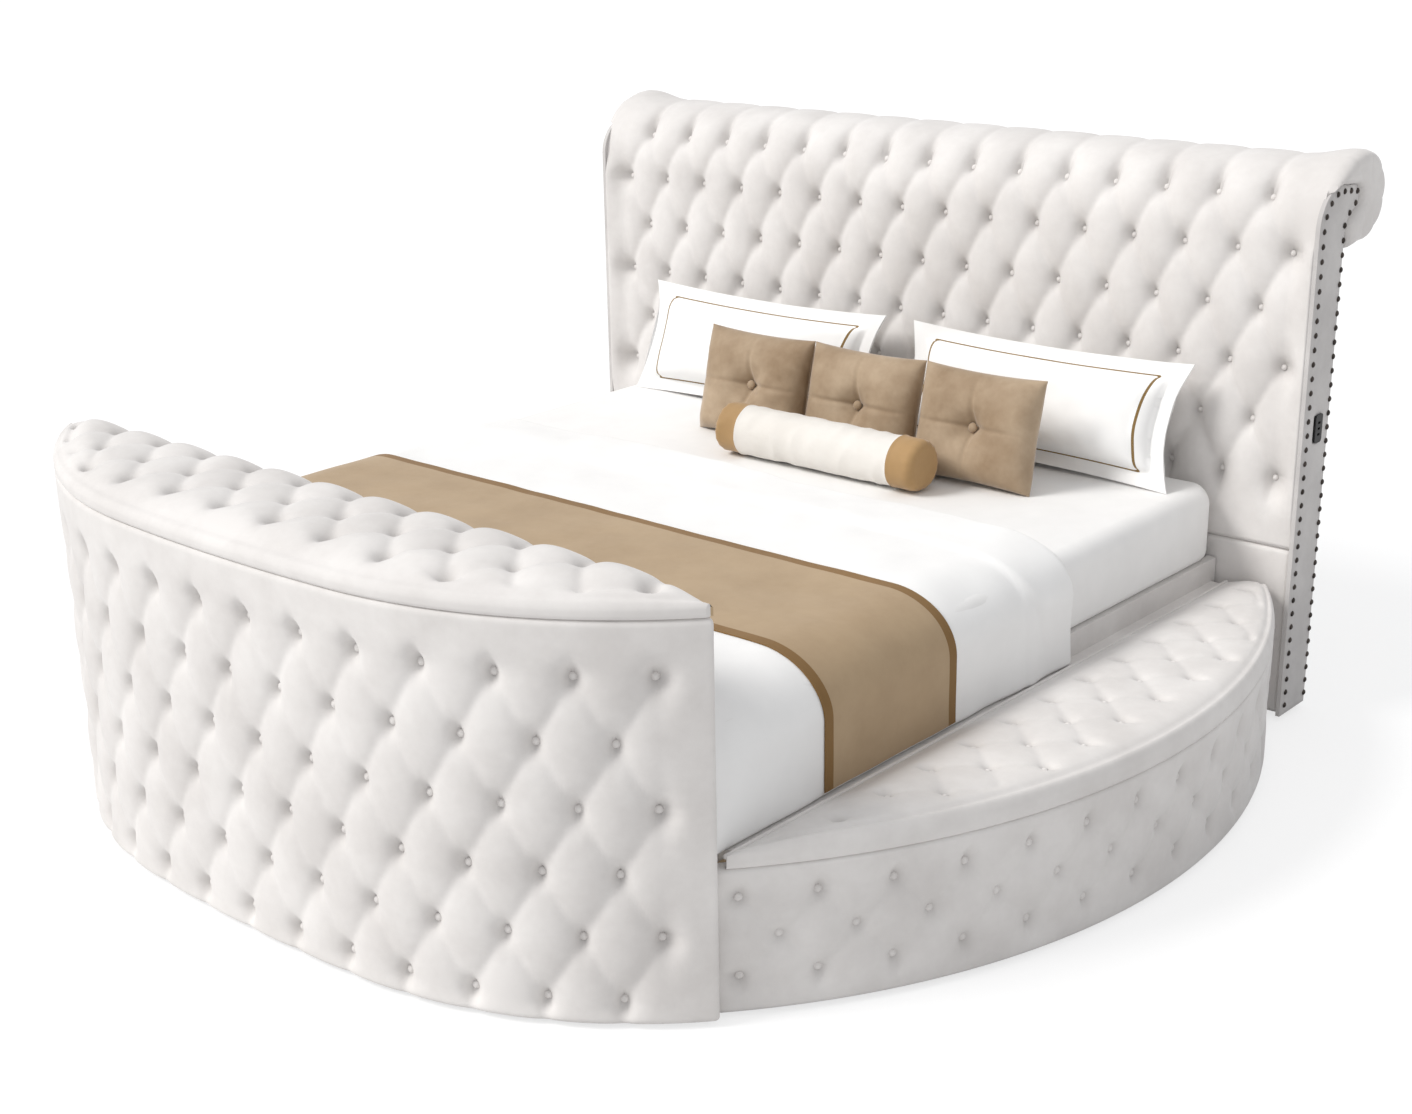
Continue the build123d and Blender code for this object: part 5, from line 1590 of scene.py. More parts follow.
@dataclass(frozen=True)
class Headboard:
    """The headboard: tufted face over a scroll, plain lower pad, end panels and roll caps."""

    profile: HeadProfile = HeadProfile()
    panel_x: float = 1.166
    half_width: float = 1.182
    first_button: float = -1.092
    pitch: float = 0.1456
    rows: tuple[float, ...] = (0.172, 0.314, 0.456, 0.598, 0.740, 0.868)
    back: float = 0.008
    step: float = 0.0072
    bottom: float = 0.014
    board_y: float = 1.085
    crest_y: float = 1.037
    back_y: float = 1.157
    nail_front: float = 1.042
    nail_rear: float = 1.152
    nail_bottom: float = 0.044
    nail_top: float = 1.357
    nail_tip: tuple[float, float] = (1.243, 1.340)
    nail_return: float = 1.278
    crest_thin: float = 0.22
    nail_bends: tuple[float, float, float] = (0.084, 0.015, 0.040)
    margin: float = 0.014
    cap_proud: float = 0.016
    lining: float = 0.0014
    end_lift: float = 0.012
    edge_sink: float = 0.005
    button: float = 0.00782
    pad_step: float = 0.012
    pad_roll: float = 0.014
    panel_step: float = 0.009
    cap_step: float = 0.005
    socket_z: float = 0.770
    socket_half: tuple[float, float] = (0.0139, 0.0304)

    def crest(self, up: Array) -> Array:
        """Rises from 0 below the scroll to 1 at its crest."""
        return smooth_step(up, self.profile.over - 0.17, self.profile.over)

    @property
    def lattice(self) -> Lattice:
        """The buttons, up the profile from the seam."""
        return Lattice(self.first_button, self.pitch, self.rows, self.first_button, -self.first_button,
                       dimple=0.76, spread=0.40, line=0.05, fade=0.05, pleat=0.3, seat=0.1)

    def face_point(self, across: Array, length: Array, height: Array) -> Array:
        """Points of the face at a height over the pits."""
        return stacked(across, *self.profile.at(length, height))

    def face(self) -> bpy.types.Object:
        """The tufted face, over the scroll to the underside of the roll.

        Its padding is thinner over the crest, most of all away from the ends. On the flat front a
        border along each end stands end_lift higher.

        Returns:
            The new object.
        """
        across = marks(-self.panel_x, self.panel_x, self.step, 0.008)
        up = marks(0, self.profile.length, self.step)
        s, t = across[:, None], up[None, :]
        edge = self.panel_x - np.abs(s)
        level = 1 - smooth_step(t, self.profile.flat - 0.05, self.profile.flat + 0.03)
        border = self.end_lift * (1 - smooth_step(edge, 0.0, 0.07)) * smooth_step(t, 0.0, 0.12)
        fall = (rolled(edge, 0.004) - border) * level + rolled(up, 0.010)[None, :]
        thin = 1 - 0.42 * smooth_step(edge, 0.01, 0.12) * self.crest(t)
        pits = (1 - self.lattice.relief(s, t)) * smooth_step(edge, 0.0, 0.05)
        height = self.profile.depth * (1 - pits) * (thin - self.crest_thin * self.crest(t)) - fall
        front = self.face_point(s, t, np.maximum(height, -self.edge_sink))
        behind = np.linspace(self.profile.length, 0, 44)[None, :]
        rear = self.face_point(s, behind, np.full((1, 1), -self.back))
        return shell("headboard_face", np.concatenate([front, rear], axis=1), relief=1 - pits)

    def buttons(self) -> bpy.types.Object:
        """Covered buttons of the face."""
        return button_mesh("headboard_face_buttons", *seats(self.lattice, self.face_point), self.button)

    def lower_pad(self) -> bpy.types.Object:
        """The plain pad below the seam, with a soft rolled edge.

        Returns:
            The new object.
        """
        across = marks(-self.panel_x, self.panel_x, self.pad_step, self.pad_roll)
        up = marks(self.bottom, self.profile.seam, self.pad_step, self.pad_roll)
        soft = Creases(5, 8, 0.3, 0.8).at(across[:, None], up[None, :])
        fall = wall_edges(across, up, self.pad_roll) + 0.001 * (1 + soft)
        face = self.crest_y + 0.002 + np.clip(fall, 0, 0.04)
        return flat_pad("headboard_lower_cover", across, up, face, self.board_y)

    @cached_property
    def nail_line(self) -> Array:
        """The nailheads' line in side view."""
        corners = [(self.nail_front, self.nail_bottom), (self.nail_front, self.nail_top), self.nail_tip,
                   (self.nail_rear, self.nail_return), (self.nail_rear, self.nail_bottom)]
        return filleted(corners, list(self.nail_bends))

    @cached_property
    def panel_outline(self) -> Array:
        """The end panel's outline: the nailheads' line grown by a margin, down to the bottom."""
        line = grown(resampled(self.nail_line, 0.008), self.margin)
        first = (line[0, 0], self.bottom)
        last = (line[-1, 0], self.bottom)
        return np.concatenate([[first], line, [last]])

    def panel_front(self, points: Array, edge: Array) -> Array:
        """X of the end panel's front: a rolled edge, a shallow channel down the middle and soft dents.

        Args:
            points: Places in Y and Z.
            edge: Distance of each from the edge.

        Returns:
            X at each place.
        """
        middle = bell(points[:, 0] - (self.nail_front + self.nail_rear) / 2, 0.022)
        low = smooth_step(points[:, 1], 1.30, 1.20)
        soft = Creases(23, 8, 0.09, 0.3).at(points[:, 0], points[:, 1])
        dents = 0.0008 * (1 + soft) * (edge > 0.02)
        return self.half_width - rolled(edge, 0.005) - dents - 0.0012 * middle * low

    def end_panel(self, side: Side) -> bpy.types.Object:
        """A padded end panel, with the socket's opening on the right one.

        Args:
            side: The side that it stands on.

        Returns:
            The new object.
        """
        hole = None
        if side is Side.RIGHT:
            middle = np.array([(self.nail_front + self.nail_rear) / 2, self.socket_z])
            hole = middle + np.array([(-1, -1), (1, -1), (1, 1), (-1, 1)]) * self.socket_half
        return plate("end_panel", side, self.panel_outline, hole, self.panel_front, self.panel_x,
                     self.panel_step)

    def cap_outline(self) -> Array:
        """The scroll's profile in side view, closed below at the roll's underside.

        Returns:
            Its corners in Y and Z.
        """
        profile = self.profile
        up = np.linspace(profile.flat, profile.length, 90)
        outer = np.stack(profile.at(up, profile.depth * (1 - self.crest_thin * self.crest(up))), axis=-1)
        under = profile.roll_z - profile.roll_radius
        return np.concatenate([outer, [[self.back_y, under], [self.crest_y, under]]])

    def cap_front(self, points: Array, edge: Array) -> Array:
        """X of the roll cap's front: a crowned edge with pleats gathered towards the middle.

        A pleat's height is sqrt(|sin(4 angle + 0.6)|) of the angle round the middle.

        Args:
            points: Places in Y and Z.
            edge: Distance of each from the edge.

        Returns:
            X at each place.
        """
        way = points - np.array([self.profile.roll_y, self.profile.roll_z])
        angle = np.arctan2(way[:, 1], way[:, 0])
        far = np.linalg.norm(way, axis=1)
        pleats = np.abs(np.sin(angle * 4 + 0.6)) ** 0.5
        proud = self.half_width + self.cap_proud
        return proud - rolled(edge, 0.026) - 0.004 * (1 - pleats) * smooth_step(far, 0.02, 0.09)

    def roll_cap(self, side: Side) -> bpy.types.Object:
        """The padded end of the scroll, round the end panel's top."""
        return plate("roll_cap", side, self.cap_outline(), self.panel_outline, self.cap_front,
                     self.panel_x, self.cap_step)

    def back_lining(self) -> bpy.types.Object:
        """The cloth over the back board, drawn tight with a soft edge.

        Returns:
            The new object.
        """
        under = self.profile.roll_z - self.profile.roll_radius
        across = marks(-self.panel_x, self.panel_x, 0.03, 0.002)
        up = marks(self.bottom, under, 0.03, 0.002)
        fall = wall_edges(across, up, 0.0012)
        soft = Creases(61, 7, 0.3, 0.9).at(across[:, None], up[None, :]) * 0.0002
        face = self.back_y + self.lining - np.clip(fall + np.abs(soft), 0, self.lining)
        return flat_pad("headboard_back_lining", across, up, face, self.back_y + 0.0001)

    def build(self, velvet: bpy.types.Material, shade: bpy.types.Material) -> None:
        """Makes and dresses every piece of the headboard.

        Args:
            velvet: The upholstery's material.
            shade: The end panels' and back lining's velvet, a greyer copy of the upholstery's that paints in
                their shade.
        """
        dress(self.face(), velvet, "headboard_tufting", fill=0.8)
        dress(self.buttons(), velvet, "headboard_buttons", fill=None)
        dress(self.lower_pad(), velvet, "headboard_lower_pad")
        dress(self.back_lining(), shade, fill=0.5)
        for side in Side:
            nodes = ("headboard_end_panels",) if side is Side.RIGHT else ()
            dress(self.end_panel(side), shade, *nodes, fill=0.8)
            nodes = ("headboard_roll_caps",) if side is Side.RIGHT else ()
            dress(self.roll_cap(side), velvet, *nodes, fill=0.8)

# Bedding


@dataclass(frozen=True)
class Drape:
    """Section of bedding laid over the mattress and hanging at both sides.

    The outer line runs up one side, over a shoulder, across the top and down the other side. Its
    places are lengths from the middle of the top.
    """

    half: float
    top: float
    hem: float
    across: float
    fall: float

    @property
    def flat_half(self) -> float:
        """Half the level top."""
        return self.half - self.across

    @property
    def bend(self) -> float:
        """Length of a shoulder, a quarter of an oval."""
        return (self.across + self.fall) / 2 * QUARTER_TURN

    @property
    def half_length(self) -> float:
        """Length from the middle to a hem."""
        return self.flat_half + self.bend + self.top - self.fall - self.hem

    def at(self, length: Array, out: Array | float = 0.0) -> tuple[Array, Array]:
        """Points of the outer line, moved outwards square to it.

        Args:
            length: Distance from the middle of the top.
            out: Distance outwards.

        Returns:
            X and Z.
        """
        along = np.abs(length)
        turn = np.clip((along - self.flat_half) / self.bend, 0, 1) * QUARTER_TURN
        down = np.clip(along - self.flat_half - self.bend, 0, None)
        x = np.minimum(along, self.flat_half) + (self.across + out) * np.sin(turn)
        z = self.top - self.fall + (self.fall + out) * np.cos(turn) - down
        return np.sign(length) * x, z


@dataclass(frozen=True)
class Bedding:
    """Mattress, duvet with its folded head end, runner, pillows, cushions and bolster."""

    duvet: Drape = Drape(0.9893, 0.6393, 0.346, 0.170, 0.130)
    duvet_foot: float = -0.984
    duvet_head: float = 0.290
    fold: float = 0.190
    fold_rise: float = 0.014
    under: float = 0.6033
    inner_half: float = 0.9653
    runner_foot: float = -0.640
    runner_width: float = 0.460
    runner_thickness: float = 0.0026
    runner_lift: float = 0.010
    band: float = 0.027
    pillow_size: tuple[float, float, float] = (0.860, 0.330, 0.150)
    pillow_place: tuple[float, float] = (0.475, 0.862)
    pillow_lean: float = 19.0
    flange: float = 0.042
    cushion_size: tuple[float, float, float] = (0.362, 0.292, 0.125)
    cushion_place: tuple[float, float] = (0.100, 0.632)
    cushion_lean: float = 13.0
    cushion_pitch: float = 0.366
    dimple: float = 0.030
    bolster_radius: float = 0.069
    bolster_half: float = 0.325
    bolster_y: float = 0.496
    mattress_ends: tuple[float, float] = (0.07, 0.04)
    mattress_corners: tuple[float, float] = (0.052, 0.030)
    duvet_roll: float = 0.016
    duvet_thickness: float = 0.03
    flap_lift: float = 0.010
    cushion_button: float = 0.013
    bolster_roll: float = 0.02
    bolster_band: float = 0.076

    def mattress(self) -> bpy.types.Object:
        """A rounded block with a taped edge: rings along the bed, drawn in at the corners.

        Returns:
            The new object.
        """
        inward, upward = self.mattress_ends
        along = marks(Bed.mattress_foot_y, Bed.mattress_head_y, 0.02, inward)
        end = np.minimum(along - along[0], along[-1] - along)
        half = Bed.mattress_half - rolled(end, inward)
        low = Bed.deck + rolled(end, upward)
        high = Bed.mattress_top - rolled(end, upward)
        turns = np.linspace(0, 2 * np.pi, 36, endpoint=False) + QUARTER_TURN / 18
        side, rise = np.cos(turns)[None, :], np.sin(turns)[None, :]
        corner = np.where(rise > 0, *self.mattress_corners)
        x = np.sign(side) * (half[:, None] - corner) + corner * side
        middle, tall = (low + high)[:, None] / 2, (high - low)[:, None] / 2
        z = middle + np.sign(rise) * (tall - corner) + corner * rise
        return shell("mattress_block", stacked(x, along[:, None], z))

    def duvet_out(self, length: Array, y: Array) -> Array:
        """How far the duvet's surface stands in or out of its plain section.

        Sums of sine waves crease the level top and, growing with hang, the sides. Under the runner all
        is calmer and 3 mm lower. On the right side a turned-back flap stands flap_lift proud of a
        slanting crease, faded towards the top and the hem. The folded head end rises by fold_rise over
        a soft lip.

        Args:
            length: Distance from the middle of the top, along the section.
            y: Places along the bed.

        Returns:
            The distance outwards.
        """
        flat = self.duvet.flat_half
        top = 1 - smooth_step(np.abs(length), flat - 0.02, flat + 0.08)
        long_folds = Creases(3, 7, 0.30, 0.80, QUARTER_TURN, 0.5).at(length, y)
        small = Creases(4, 9, 0.07, 0.20).at(length, y)
        hang = np.clip((np.abs(length) - flat) / 0.39, 0, 1)
        falls = Creases(6, 6, 0.16, 0.42, QUARTER_TURN, 0.25).at(length * 0.2, y)
        lie = -0.0045 + 0.0035 * long_folds + 0.0010 * small
        side = -0.003 + hang * 0.0018 * falls + 0.0030 * hang**2 + 0.001 * small
        runner_head = self.runner_foot + self.runner_width
        under_runner = smooth_step(y, self.runner_foot - 0.05, self.runner_foot)
        under_runner = under_runner * smooth_step(-y, -runner_head - 0.05, -runner_head)
        calm = 1 - 0.6 * under_runner
        out = (top * lie + (1 - top) * side) * calm - 0.003 * under_runner
        down = np.clip((np.abs(length) - flat) / 0.42, 0, 1)
        crease = y - (self.duvet_head - 0.225 + 0.150 * down)
        flap = self.flap_lift * smooth_step(crease, -0.012, 0.010) * smooth_step(down, 0.05, 0.35)
        flap = flap * (1 - smooth_step(down, 0.45, 0.85))
        out = out + flap * smooth_step(length, 0, 0.5)
        start = self.duvet_head - self.fold
        lip = smooth_step(y, start - 0.004, start + 0.014) * 0.9 + 0.1 * smooth_step(y, start, start + 0.05)
        swell = 0.75 + 0.25 * Creases(8, 5, 0.25, 0.6).at(length, y)
        thin = 0.55 + 0.45 * top
        return out + self.fold_rise * lip * np.clip(swell, 0.6, 1) * thin

    def cover(self) -> bpy.types.Object:
        """The duvet: its outer skin over the inner one that lies on the mattress, rolled at both ends.

        Returns:
            The new object.
        """
        roll = self.duvet_roll
        along = marks(self.duvet_foot, self.duvet_head, 0.0085, roll)
        reach = self.duvet.half_length
        around = marks(-reach, reach, 0.0095, 0.010)
        y, s = along[:, None], around[None, :]
        start = self.duvet_head - self.fold
        bend = 0.006 * Creases(14, 4, 0.5, 1.1, 0, 0.1).at(s, 0 * y) * smooth_step(y, start - 0.25, start)
        end = rolled(self.duvet_head - y, roll) * 1.4 + rolled(y - self.duvet_foot, roll)
        hem = rolled(reach - np.abs(s), 0.010) * 0.9
        x, z = self.duvet.at(s, self.duvet_out(s, y) - end - hem)
        outer = stacked(x, y + bend * (y > start - 0.25), z)
        inner_line = Drape(self.inner_half, self.under, self.duvet.hem,
                           self.duvet.across - self.duvet_thickness, self.duvet.fall - self.duvet_thickness)
        inner = np.linspace(inner_line.half_length, -inner_line.half_length, 60)[None, :]
        x, z = inner_line.at(inner)
        return shell("duvet_cover", np.concatenate([outer, stacked(x, y, z)], axis=1), 60)

    def runner(self) -> bpy.types.Object:
        """The runner: a thin cloth on the duvet's skin, from hem to hem.

        Returns:
            The new object.
        """
        along = marks(self.runner_foot, self.runner_foot + self.runner_width, 0.008, 0.003)
        reach = self.duvet.half_length - self.runner_lift
        around = marks(-reach, reach, 0.0095, 0.002)
        y, s = along[:, None], around[None, :]
        lift = self.duvet_out(s, y) + 0.0012
        x, z = self.duvet.at(s, lift + self.runner_thickness)
        low_x, low_z = self.duvet.at(s[:, ::-1], lift[:, ::-1])
        rings = np.concatenate([stacked(x, y, z), stacked(low_x, y, low_z)], axis=1)
        return shell("bed_runner", rings)

    def stuffed(self, name: str, size: tuple[float, float, float], flange: float, pit: float, seed: int,
                place: tuple[float, float], lean: float) -> bpy.types.Object:
        """A pillow standing on its lower edge and leaning back.

        Its half thickness is thickness / 2 * sqrt((1 - u^4)(1 - v^4)) inside the flange, its sides
        draw in between the corners by a share of (1 - v^2), and creases run in from the corners.

        Args:
            name: The piece's name.
            size: Width, height and thickness.
            flange: Width of the flat border.
            pit: Depth of a pit with cross seams at the middle.
            seed: Seed of the creases.
            place: X and Y of the lower edge's middle.
            lean: Angle in degrees that it leans back.

        Returns:
            The new object, with the distance from the edge in the attribute border.
        """
        width, height, thickness = size
        u = marks(-1, 1, 0.026 if width < 0.5 else 0.018, 0.06)
        v = marks(-1, 1, 0.028, 0.06)
        grid_u, grid_v = u[:, None], v[None, :]
        side = (1 - np.abs(grid_u)) * width / (4 if flange else 2)
        border = np.minimum(side, (1 - np.abs(grid_v)) * height / 2)
        flat_u, flat_v = grid_u * width / 2, grid_v * height / 2
        inner_u = np.clip(grid_u * width / (width - 2 * flange), -1, 1)
        inner_v = np.clip(grid_v * height / (height - 2 * flange), -1, 1)
        sag = inner_v + 0.16 * (1 - inner_v**2)
        swell = np.sqrt((1 - inner_u**4) * (1 - sag**4).clip(0))
        corner = (inner_u * inner_v) ** 2
        rays = Creases(seed, 8, 0.05, 0.16).at(flat_u, flat_v)
        wrinkle = 0.0035 * rays * swell * (0.35 + corner) * (0.8 if pit else 1)
        depth = thickness / 2 * swell + wrinkle
        if pit:
            away = np.hypot(flat_u, flat_v)
            depth = depth - pit * bell(away, 0.038) - 0.5 * pit * bell(away, 0.09)
            seams = bell(flat_u, 0.007) + bell(flat_v, 0.007)
            depth = depth - 0.0052 * seams * swell * (0.35 + bell(away, 0.12))
        depth = np.maximum(depth, 0.0022)
        draw = 0.085 if flange else 0.05
        x = width / 2 * grid_u * (1 - draw * (1 - grid_v**2))
        z = height / 2 * grid_v * (1 - draw * (1 - grid_u**2)) + height / 2
        wave = 0.004 * Creases(seed + 40, 5, 0.12, 0.4).at(x, z) * (border < flange)
        front, back = (stacked(x, face * depth + wave, z) for face in (-1, 1))
        rings = np.concatenate([front, back[:, ::-1]], axis=1)
        turn = math.radians(lean)
        y, z = rings[..., 1], rings[..., 2]
        flat_y = y * math.cos(turn) + z * math.sin(turn)
        flat_z = -y * math.sin(turn) + z * math.cos(turn)
        level = np.maximum(flat_z + Bed.mattress_top + Bed.gap, Bed.mattress_top + 0.001)
        points = stacked(rings[..., 0] + place[0], flat_y + place[1], level)
        piece = shell(name, points, 70)
        keep_on_points(piece.data, "border", np.concatenate([border, border[:, ::-1]], axis=1))
        return piece

    def cushion_buttons(self) -> bpy.types.Object:
        """The button at the middle of each square cushion.

        Returns:
            The new object.
        """
        turn = math.radians(self.cushion_lean)
        _, height, thickness = self.cushion_size
        front = np.array([-(thickness / 2 - 1.5 * self.dimple + 0.002), height / 2])
        y = front[0] * math.cos(turn) + front[1] * math.sin(turn) + self.cushion_place[1]
        z = -front[0] * math.sin(turn) + front[1] * math.cos(turn) + Bed.mattress_top + Bed.gap
        x = self.cushion_place[0] + self.cushion_pitch * np.array([-1.0, 0.0, 1.0])
        facing = np.tile([0, -math.cos(turn), math.sin(turn)], (3, 1))
        return button_mesh("square_cushion_buttons", stacked(x, y, z), facing, self.cushion_button)

    def bolster(self) -> bpy.types.Object:
        """The bolster: a soft round roll with piped bands and gathered ends.

        A gather lowers the end by 1.5 mm * |sin(9 turn)|, and the roll is a little flat underneath.

        Returns:
            The new object.
        """
        along = marks(-self.bolster_half, self.bolster_half, 0.005, self.bolster_roll)[:, None]
        turn = np.linspace(0, 2 * np.pi, 72, endpoint=False)[None, :]
        end = self.bolster_half - np.abs(along)
        radius = self.bolster_radius - rolled(end, self.bolster_roll)
        piping = 0.0024 * bell(end - self.bolster_band, 0.0028)
        soft = 0.0022 * Creases(31, 9, 0.06, 0.22).at(along, turn * self.bolster_radius)
        gather = 0.0015 * np.abs(np.sin(9 * turn)) * bell(end, 0.03)
        radius = radius + piping - np.abs(soft) - gather
        drop = 1 - 0.05 * np.clip(-np.sin(turn), 0, 1)
        z = Bed.mattress_top + Bed.gap + self.bolster_radius + radius * np.sin(turn) * drop
        y = self.bolster_y + radius * np.cos(turn) * (2 - drop)
        return shell("bolster_roll", stacked(along + self.cushion_place[0], y, z), 70)

    def build(self) -> None:
        """Makes and dresses all the bedding."""
        sheet = Linen("mattress_cover", (0.92, 0.912, 0.90), (0.87, 0.862, 0.85)).material()
        linen = Linen("duvet_cotton").material()
        cotton = Linen("pillow_cotton", line=(0.30, 0.19, 0.07)).material()
        dress(self.mattress(), sheet, "mattress", slot=Slot.TICKING, fill=1.0)
        cover = dress(self.cover(), linen, "duvet", slot=Slot.LINEN, fill=0.3)
        middle = self.runner_foot + self.runner_width / 2
        inner = self.runner_width / 2 - self.band
        tan = BandedVelvet("runner_velvet_cloth", (0.47, 0.345, 0.215), (0.41, 0.295, 0.18), axis=1,
                           middle=middle, inner=inner, band=(0.245, 0.135, 0.042), sheen=0.25).material()
        runner = dress(self.runner(), tan, "runner", slot=Slot.RUNNER, fill=None)
        flat = (self.runner_width, 2 * (self.duvet.half_length - self.runner_lift))
        for number, side in enumerate(Side):
            place = (side.value * self.pillow_place[0], self.pillow_place[1])
            piece = self.stuffed(f"{side.word}_bed_pillow", self.pillow_size, self.flange, 0.0,
                                 50 + number, place, self.pillow_lean)
            dress(piece, cotton, f"{side.word}_pillow", slot=Slot.LINEN, fill=0.7)
        accent = Velvet("cushion_velvet", (0.47, 0.36, 0.25), (0.30, 0.21, 0.13), sheen=0.5).material()
        for number in range(3):
            x = self.cushion_place[0] + self.cushion_pitch * (number - 1)
            piece = self.stuffed(f"square_cushion_{number}", self.cushion_size, 0.0, self.dimple,
                                 70 + number, (x, self.cushion_place[1]), self.cushion_lean)
            nodes = ("velvet_cushions",) if number == 0 else ()
            dress(piece, accent, *nodes, slot=Slot.ACCENT, fill=0.9)
        dress(self.cushion_buttons(), accent, "velvet_buttons", slot=Slot.ACCENT, fill=None)
        roll = BandedVelvet("bolster_cloth", (0.83, 0.80, 0.755), (0.77, 0.735, 0.685), axis=0,
                            middle=self.cushion_place[0], inner=self.bolster_half - self.bolster_band,
                            band=(0.44, 0.275, 0.125), sheen=0.3).material()
        dress(self.bolster(), roll, "bolster", slot=Slot.ACCENT, fill=0.95)


# Carcass, camera and light


class Carcass:
    """Finishes of the CAD nodes that keep their own shape."""

    upholstered = ("side_rails", "hinge_rails", "bench_end_panels")

    def __init__(self, velvet: bpy.types.Material) -> None:
        """Makes the finishes.

        Args:
            velvet: The upholstery's material.
        """
        self.velvet = velvet
        ply = Wood("birch_plywood", (0.62, 0.47, 0.30), (0.50, 0.36, 0.21))
        pine = Wood("planed_pine", (0.66, 0.49, 0.29), (0.53, 0.36, 0.19), (26.0, 26.0, 1.8))
        zinc = Metal("zinc_plate", (0.60, 0.60, 0.61), (0.48, 0.48, 0.50), 0.28)
        bronze = Metal("dark_bronze", (0.075, 0.062, 0.055), (0.03, 0.026, 0.024), 0.22)
        socket = Plastic("socket_black", (0.009, 0.009, 0.0095), (0.006, 0.006, 0.0065), 0.42)
        foot = Plastic("foot_black", (0.03, 0.03, 0.03), (0.02, 0.02, 0.02), 0.5)
        slots = {"plywood": ply, "pine": pine, "steel": zinc, "nailhead_bronze": bronze,
                 "socket_plastic": socket, "foot_plastic": foot}
        self.finishes = {slot: finish.material() for slot, finish in slots.items()}

    def build(self, frame: dict) -> None:
        """Gives each node its finish, apart from the hidden ones that new pieces stand for.
        """
        slots = {part["node"]: part["material_slot"] for part in frame["record"]["subparts"]}
        for node, obj in frame["nodes"].items():
            if obj.hide_render:
                continue
            finish = self.velvet if node in self.upholstered else self.finishes.get(slots[node], self.velvet)
            obj.data.materials.clear()
            obj.data.materials.append(finish)
            log.info("%s keeps its shape, in %s", node, finish.name)


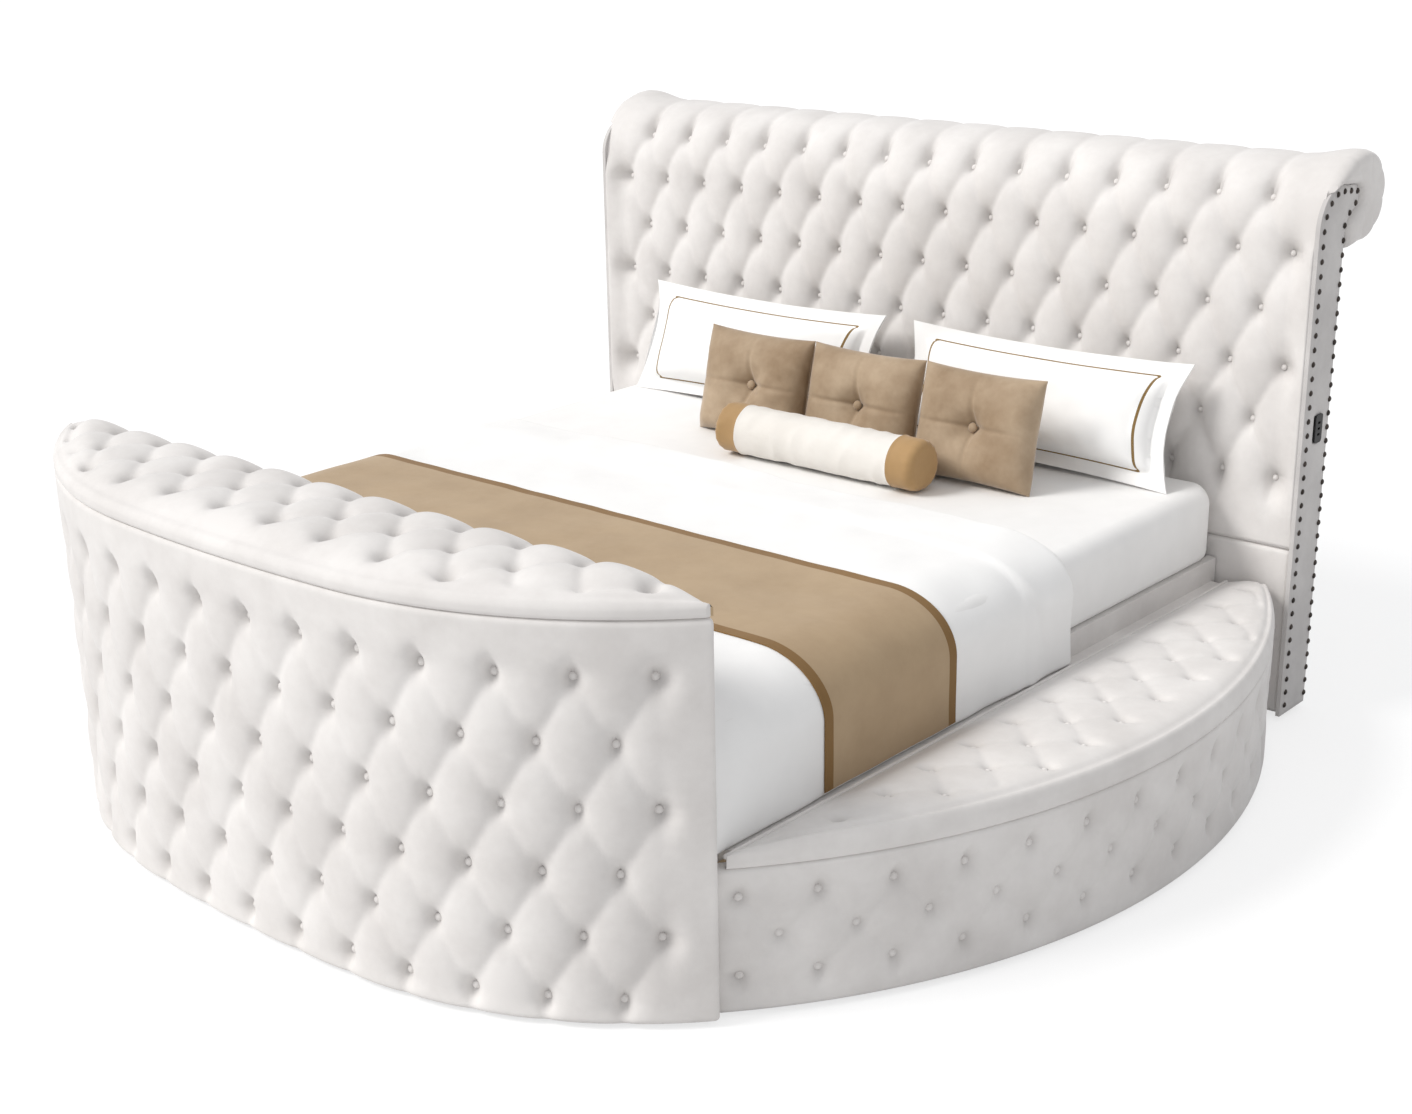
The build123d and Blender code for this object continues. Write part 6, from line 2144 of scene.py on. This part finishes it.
@dataclass(frozen=True)
class Studio:
    """White studio: a floor, soft light from all round, a broad key light and the camera."""

    camera_place: tuple[float, float, float] = (3.3138, -3.6420, 2.1560)
    azimuth: float = 41.103
    pitch: float = 19.831
    roll: float = -0.919
    lens: float = 52.914
    shift: tuple[float, float] = (-0.00388, 0.0251)
    key_way: tuple[float, float, float] = (0.50, 0.66, -0.74)
    key_strength: float = 2.2
    key_angle: float = 22.0
    world_strength: float = 0.64
    floor_half: float = 40.0

    def camera(self) -> None:
        """Sets the camera: it looks along -Z of a frame turned by azimuth, pitch and roll."""
        turn, down, roll = (math.radians(angle) for angle in (self.azimuth, self.pitch, self.roll))
        ahead = Vector((-math.sin(turn) * math.cos(down), math.cos(turn) * math.cos(down), -math.sin(down)))
        right = Vector((math.cos(turn), math.sin(turn), 0.0))
        up = right.cross(ahead)
        across = right * math.cos(roll) + up * math.sin(roll)
        above = up * math.cos(roll) - right * math.sin(roll)
        data = bpy.data.cameras.new("photo_camera")
        data.lens, data.sensor_width = self.lens, 36.0
        data.shift_x, data.shift_y = self.shift
        data.clip_end = 200.0
        camera = bpy.data.objects.new("photo_camera", data)
        place = Matrix((across, above, -ahead)).transposed().to_4x4()
        place.translation = Vector(self.camera_place)
        camera.matrix_world = place
        bpy.context.scene.collection.objects.link(camera)
        bpy.context.scene.camera = camera

    def light(self) -> None:
        """Adds the key light and an even white world."""
        data = bpy.data.lights.new("key_light", "SUN")
        data.energy, data.angle = self.key_strength, math.radians(self.key_angle)
        data.color = (1.0, 0.985, 0.965)
        lamp = bpy.data.objects.new("key_light", data)
        lamp.rotation_euler = Vector(self.key_way).to_track_quat("-Z", "Y").to_euler()
        bpy.context.scene.collection.objects.link(lamp)
        world = Shader("white_studio", world=True)
        seen = world.ray("Is Camera Ray").larger(world.ray("Is Glossy Ray"))
        seen = seen.larger(world.ray("Is Transmission Ray"))
        soft = world.node("ShaderNodeBackground", {},
                          {"Color": (0.97, 0.98, 1.0), "Strength": self.world_strength})
        white = world.node("ShaderNodeBackground", {}, {"Color": (1, 1, 1), "Strength": 1.0})
        mix = world.node("ShaderNodeMixShader", {}, {0: seen, 1: soft, 2: white})
        world.node("ShaderNodeOutputWorld", {}, {"Surface": mix})
        bpy.context.scene.world = world.owner

    def floor(self) -> None:
        """Adds the pale floor, which shows white to the camera outside the bed's shadow."""
        corners = np.array([(-1, -1, 0), (1, -1, 0), (1, 1, 0), (-1, 1, 0)]) * self.floor_half
        mesh = bpy.data.meshes.new("studio_floor")
        mesh.from_pydata(corners.tolist(), [], [(0, 1, 2, 3)])
        floor = bpy.data.objects.new("studio_floor", mesh)
        bpy.context.scene.collection.objects.link(floor)
        shader = Shader("floor_white")
        cloud = shader.ramp(shader.noise(0.8), (0, (0.73,) * 3), (1, (0.75,) * 3))
        matte = shader.node("ShaderNodeBsdfDiffuse", {}, {"Color": cloud})
        bright = shader.node("ShaderNodeBsdfDiffuse", {}, {"Color": (0.36, 0.36, 0.36)})
        glow = shader.node("ShaderNodeEmission", {}, {"Color": (1, 1, 1), "Strength": 0.70})
        lifted = shader.node("ShaderNodeAddShader", {}, {0: bright, 1: glow})
        shade = shader.node("ShaderNodeMixShader", {}, {0: shader.ray("Is Camera Ray"), 1: matte, 2: lifted})
        shader.node("ShaderNodeOutputMaterial", {}, {"Surface": shade})
        mesh.materials.append(shader.owner)

    def build(self) -> None:
        """Sets camera, light and floor."""
        self.camera()
        self.light()
        self.floor()
        bpy.context.scene.view_settings.view_transform = "Standard"


def main() -> None:
    """Builds the bed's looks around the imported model."""
    logging.basicConfig(level=logging.INFO, format="%(name)s %(message)s")
    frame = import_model()
    Studio().build()
    velvet = Velvet("upholstery_velvet", (0.80, 0.775, 0.755), (0.70, 0.672, 0.652)).material()
    # A greyer copy of the upholstery velvet: painted shade for the end panels and the back lining
    shade = Velvet("panel_velvet", (0.66, 0.64, 0.625), (0.55, 0.53, 0.52)).material()
    Footboard().build(velvet)
    benches = [Bench(side) for side in Side]
    for bench in benches:
        bench.build(velvet)
    lows, ways = zip(*(seats(bench.lattice, bench.wall_point) for bench in benches))
    buttons = button_mesh("bench_wall_button_set", np.concatenate(lows), np.concatenate(ways),
                          Bed.wall_button)
    dress(buttons, velvet, "bench_wall_buttons", fill=None)
    Headboard().build(velvet, shade)
    Bedding().build()
    Carcass(velvet).build(frame)


if __name__ == "__main__":
    main()
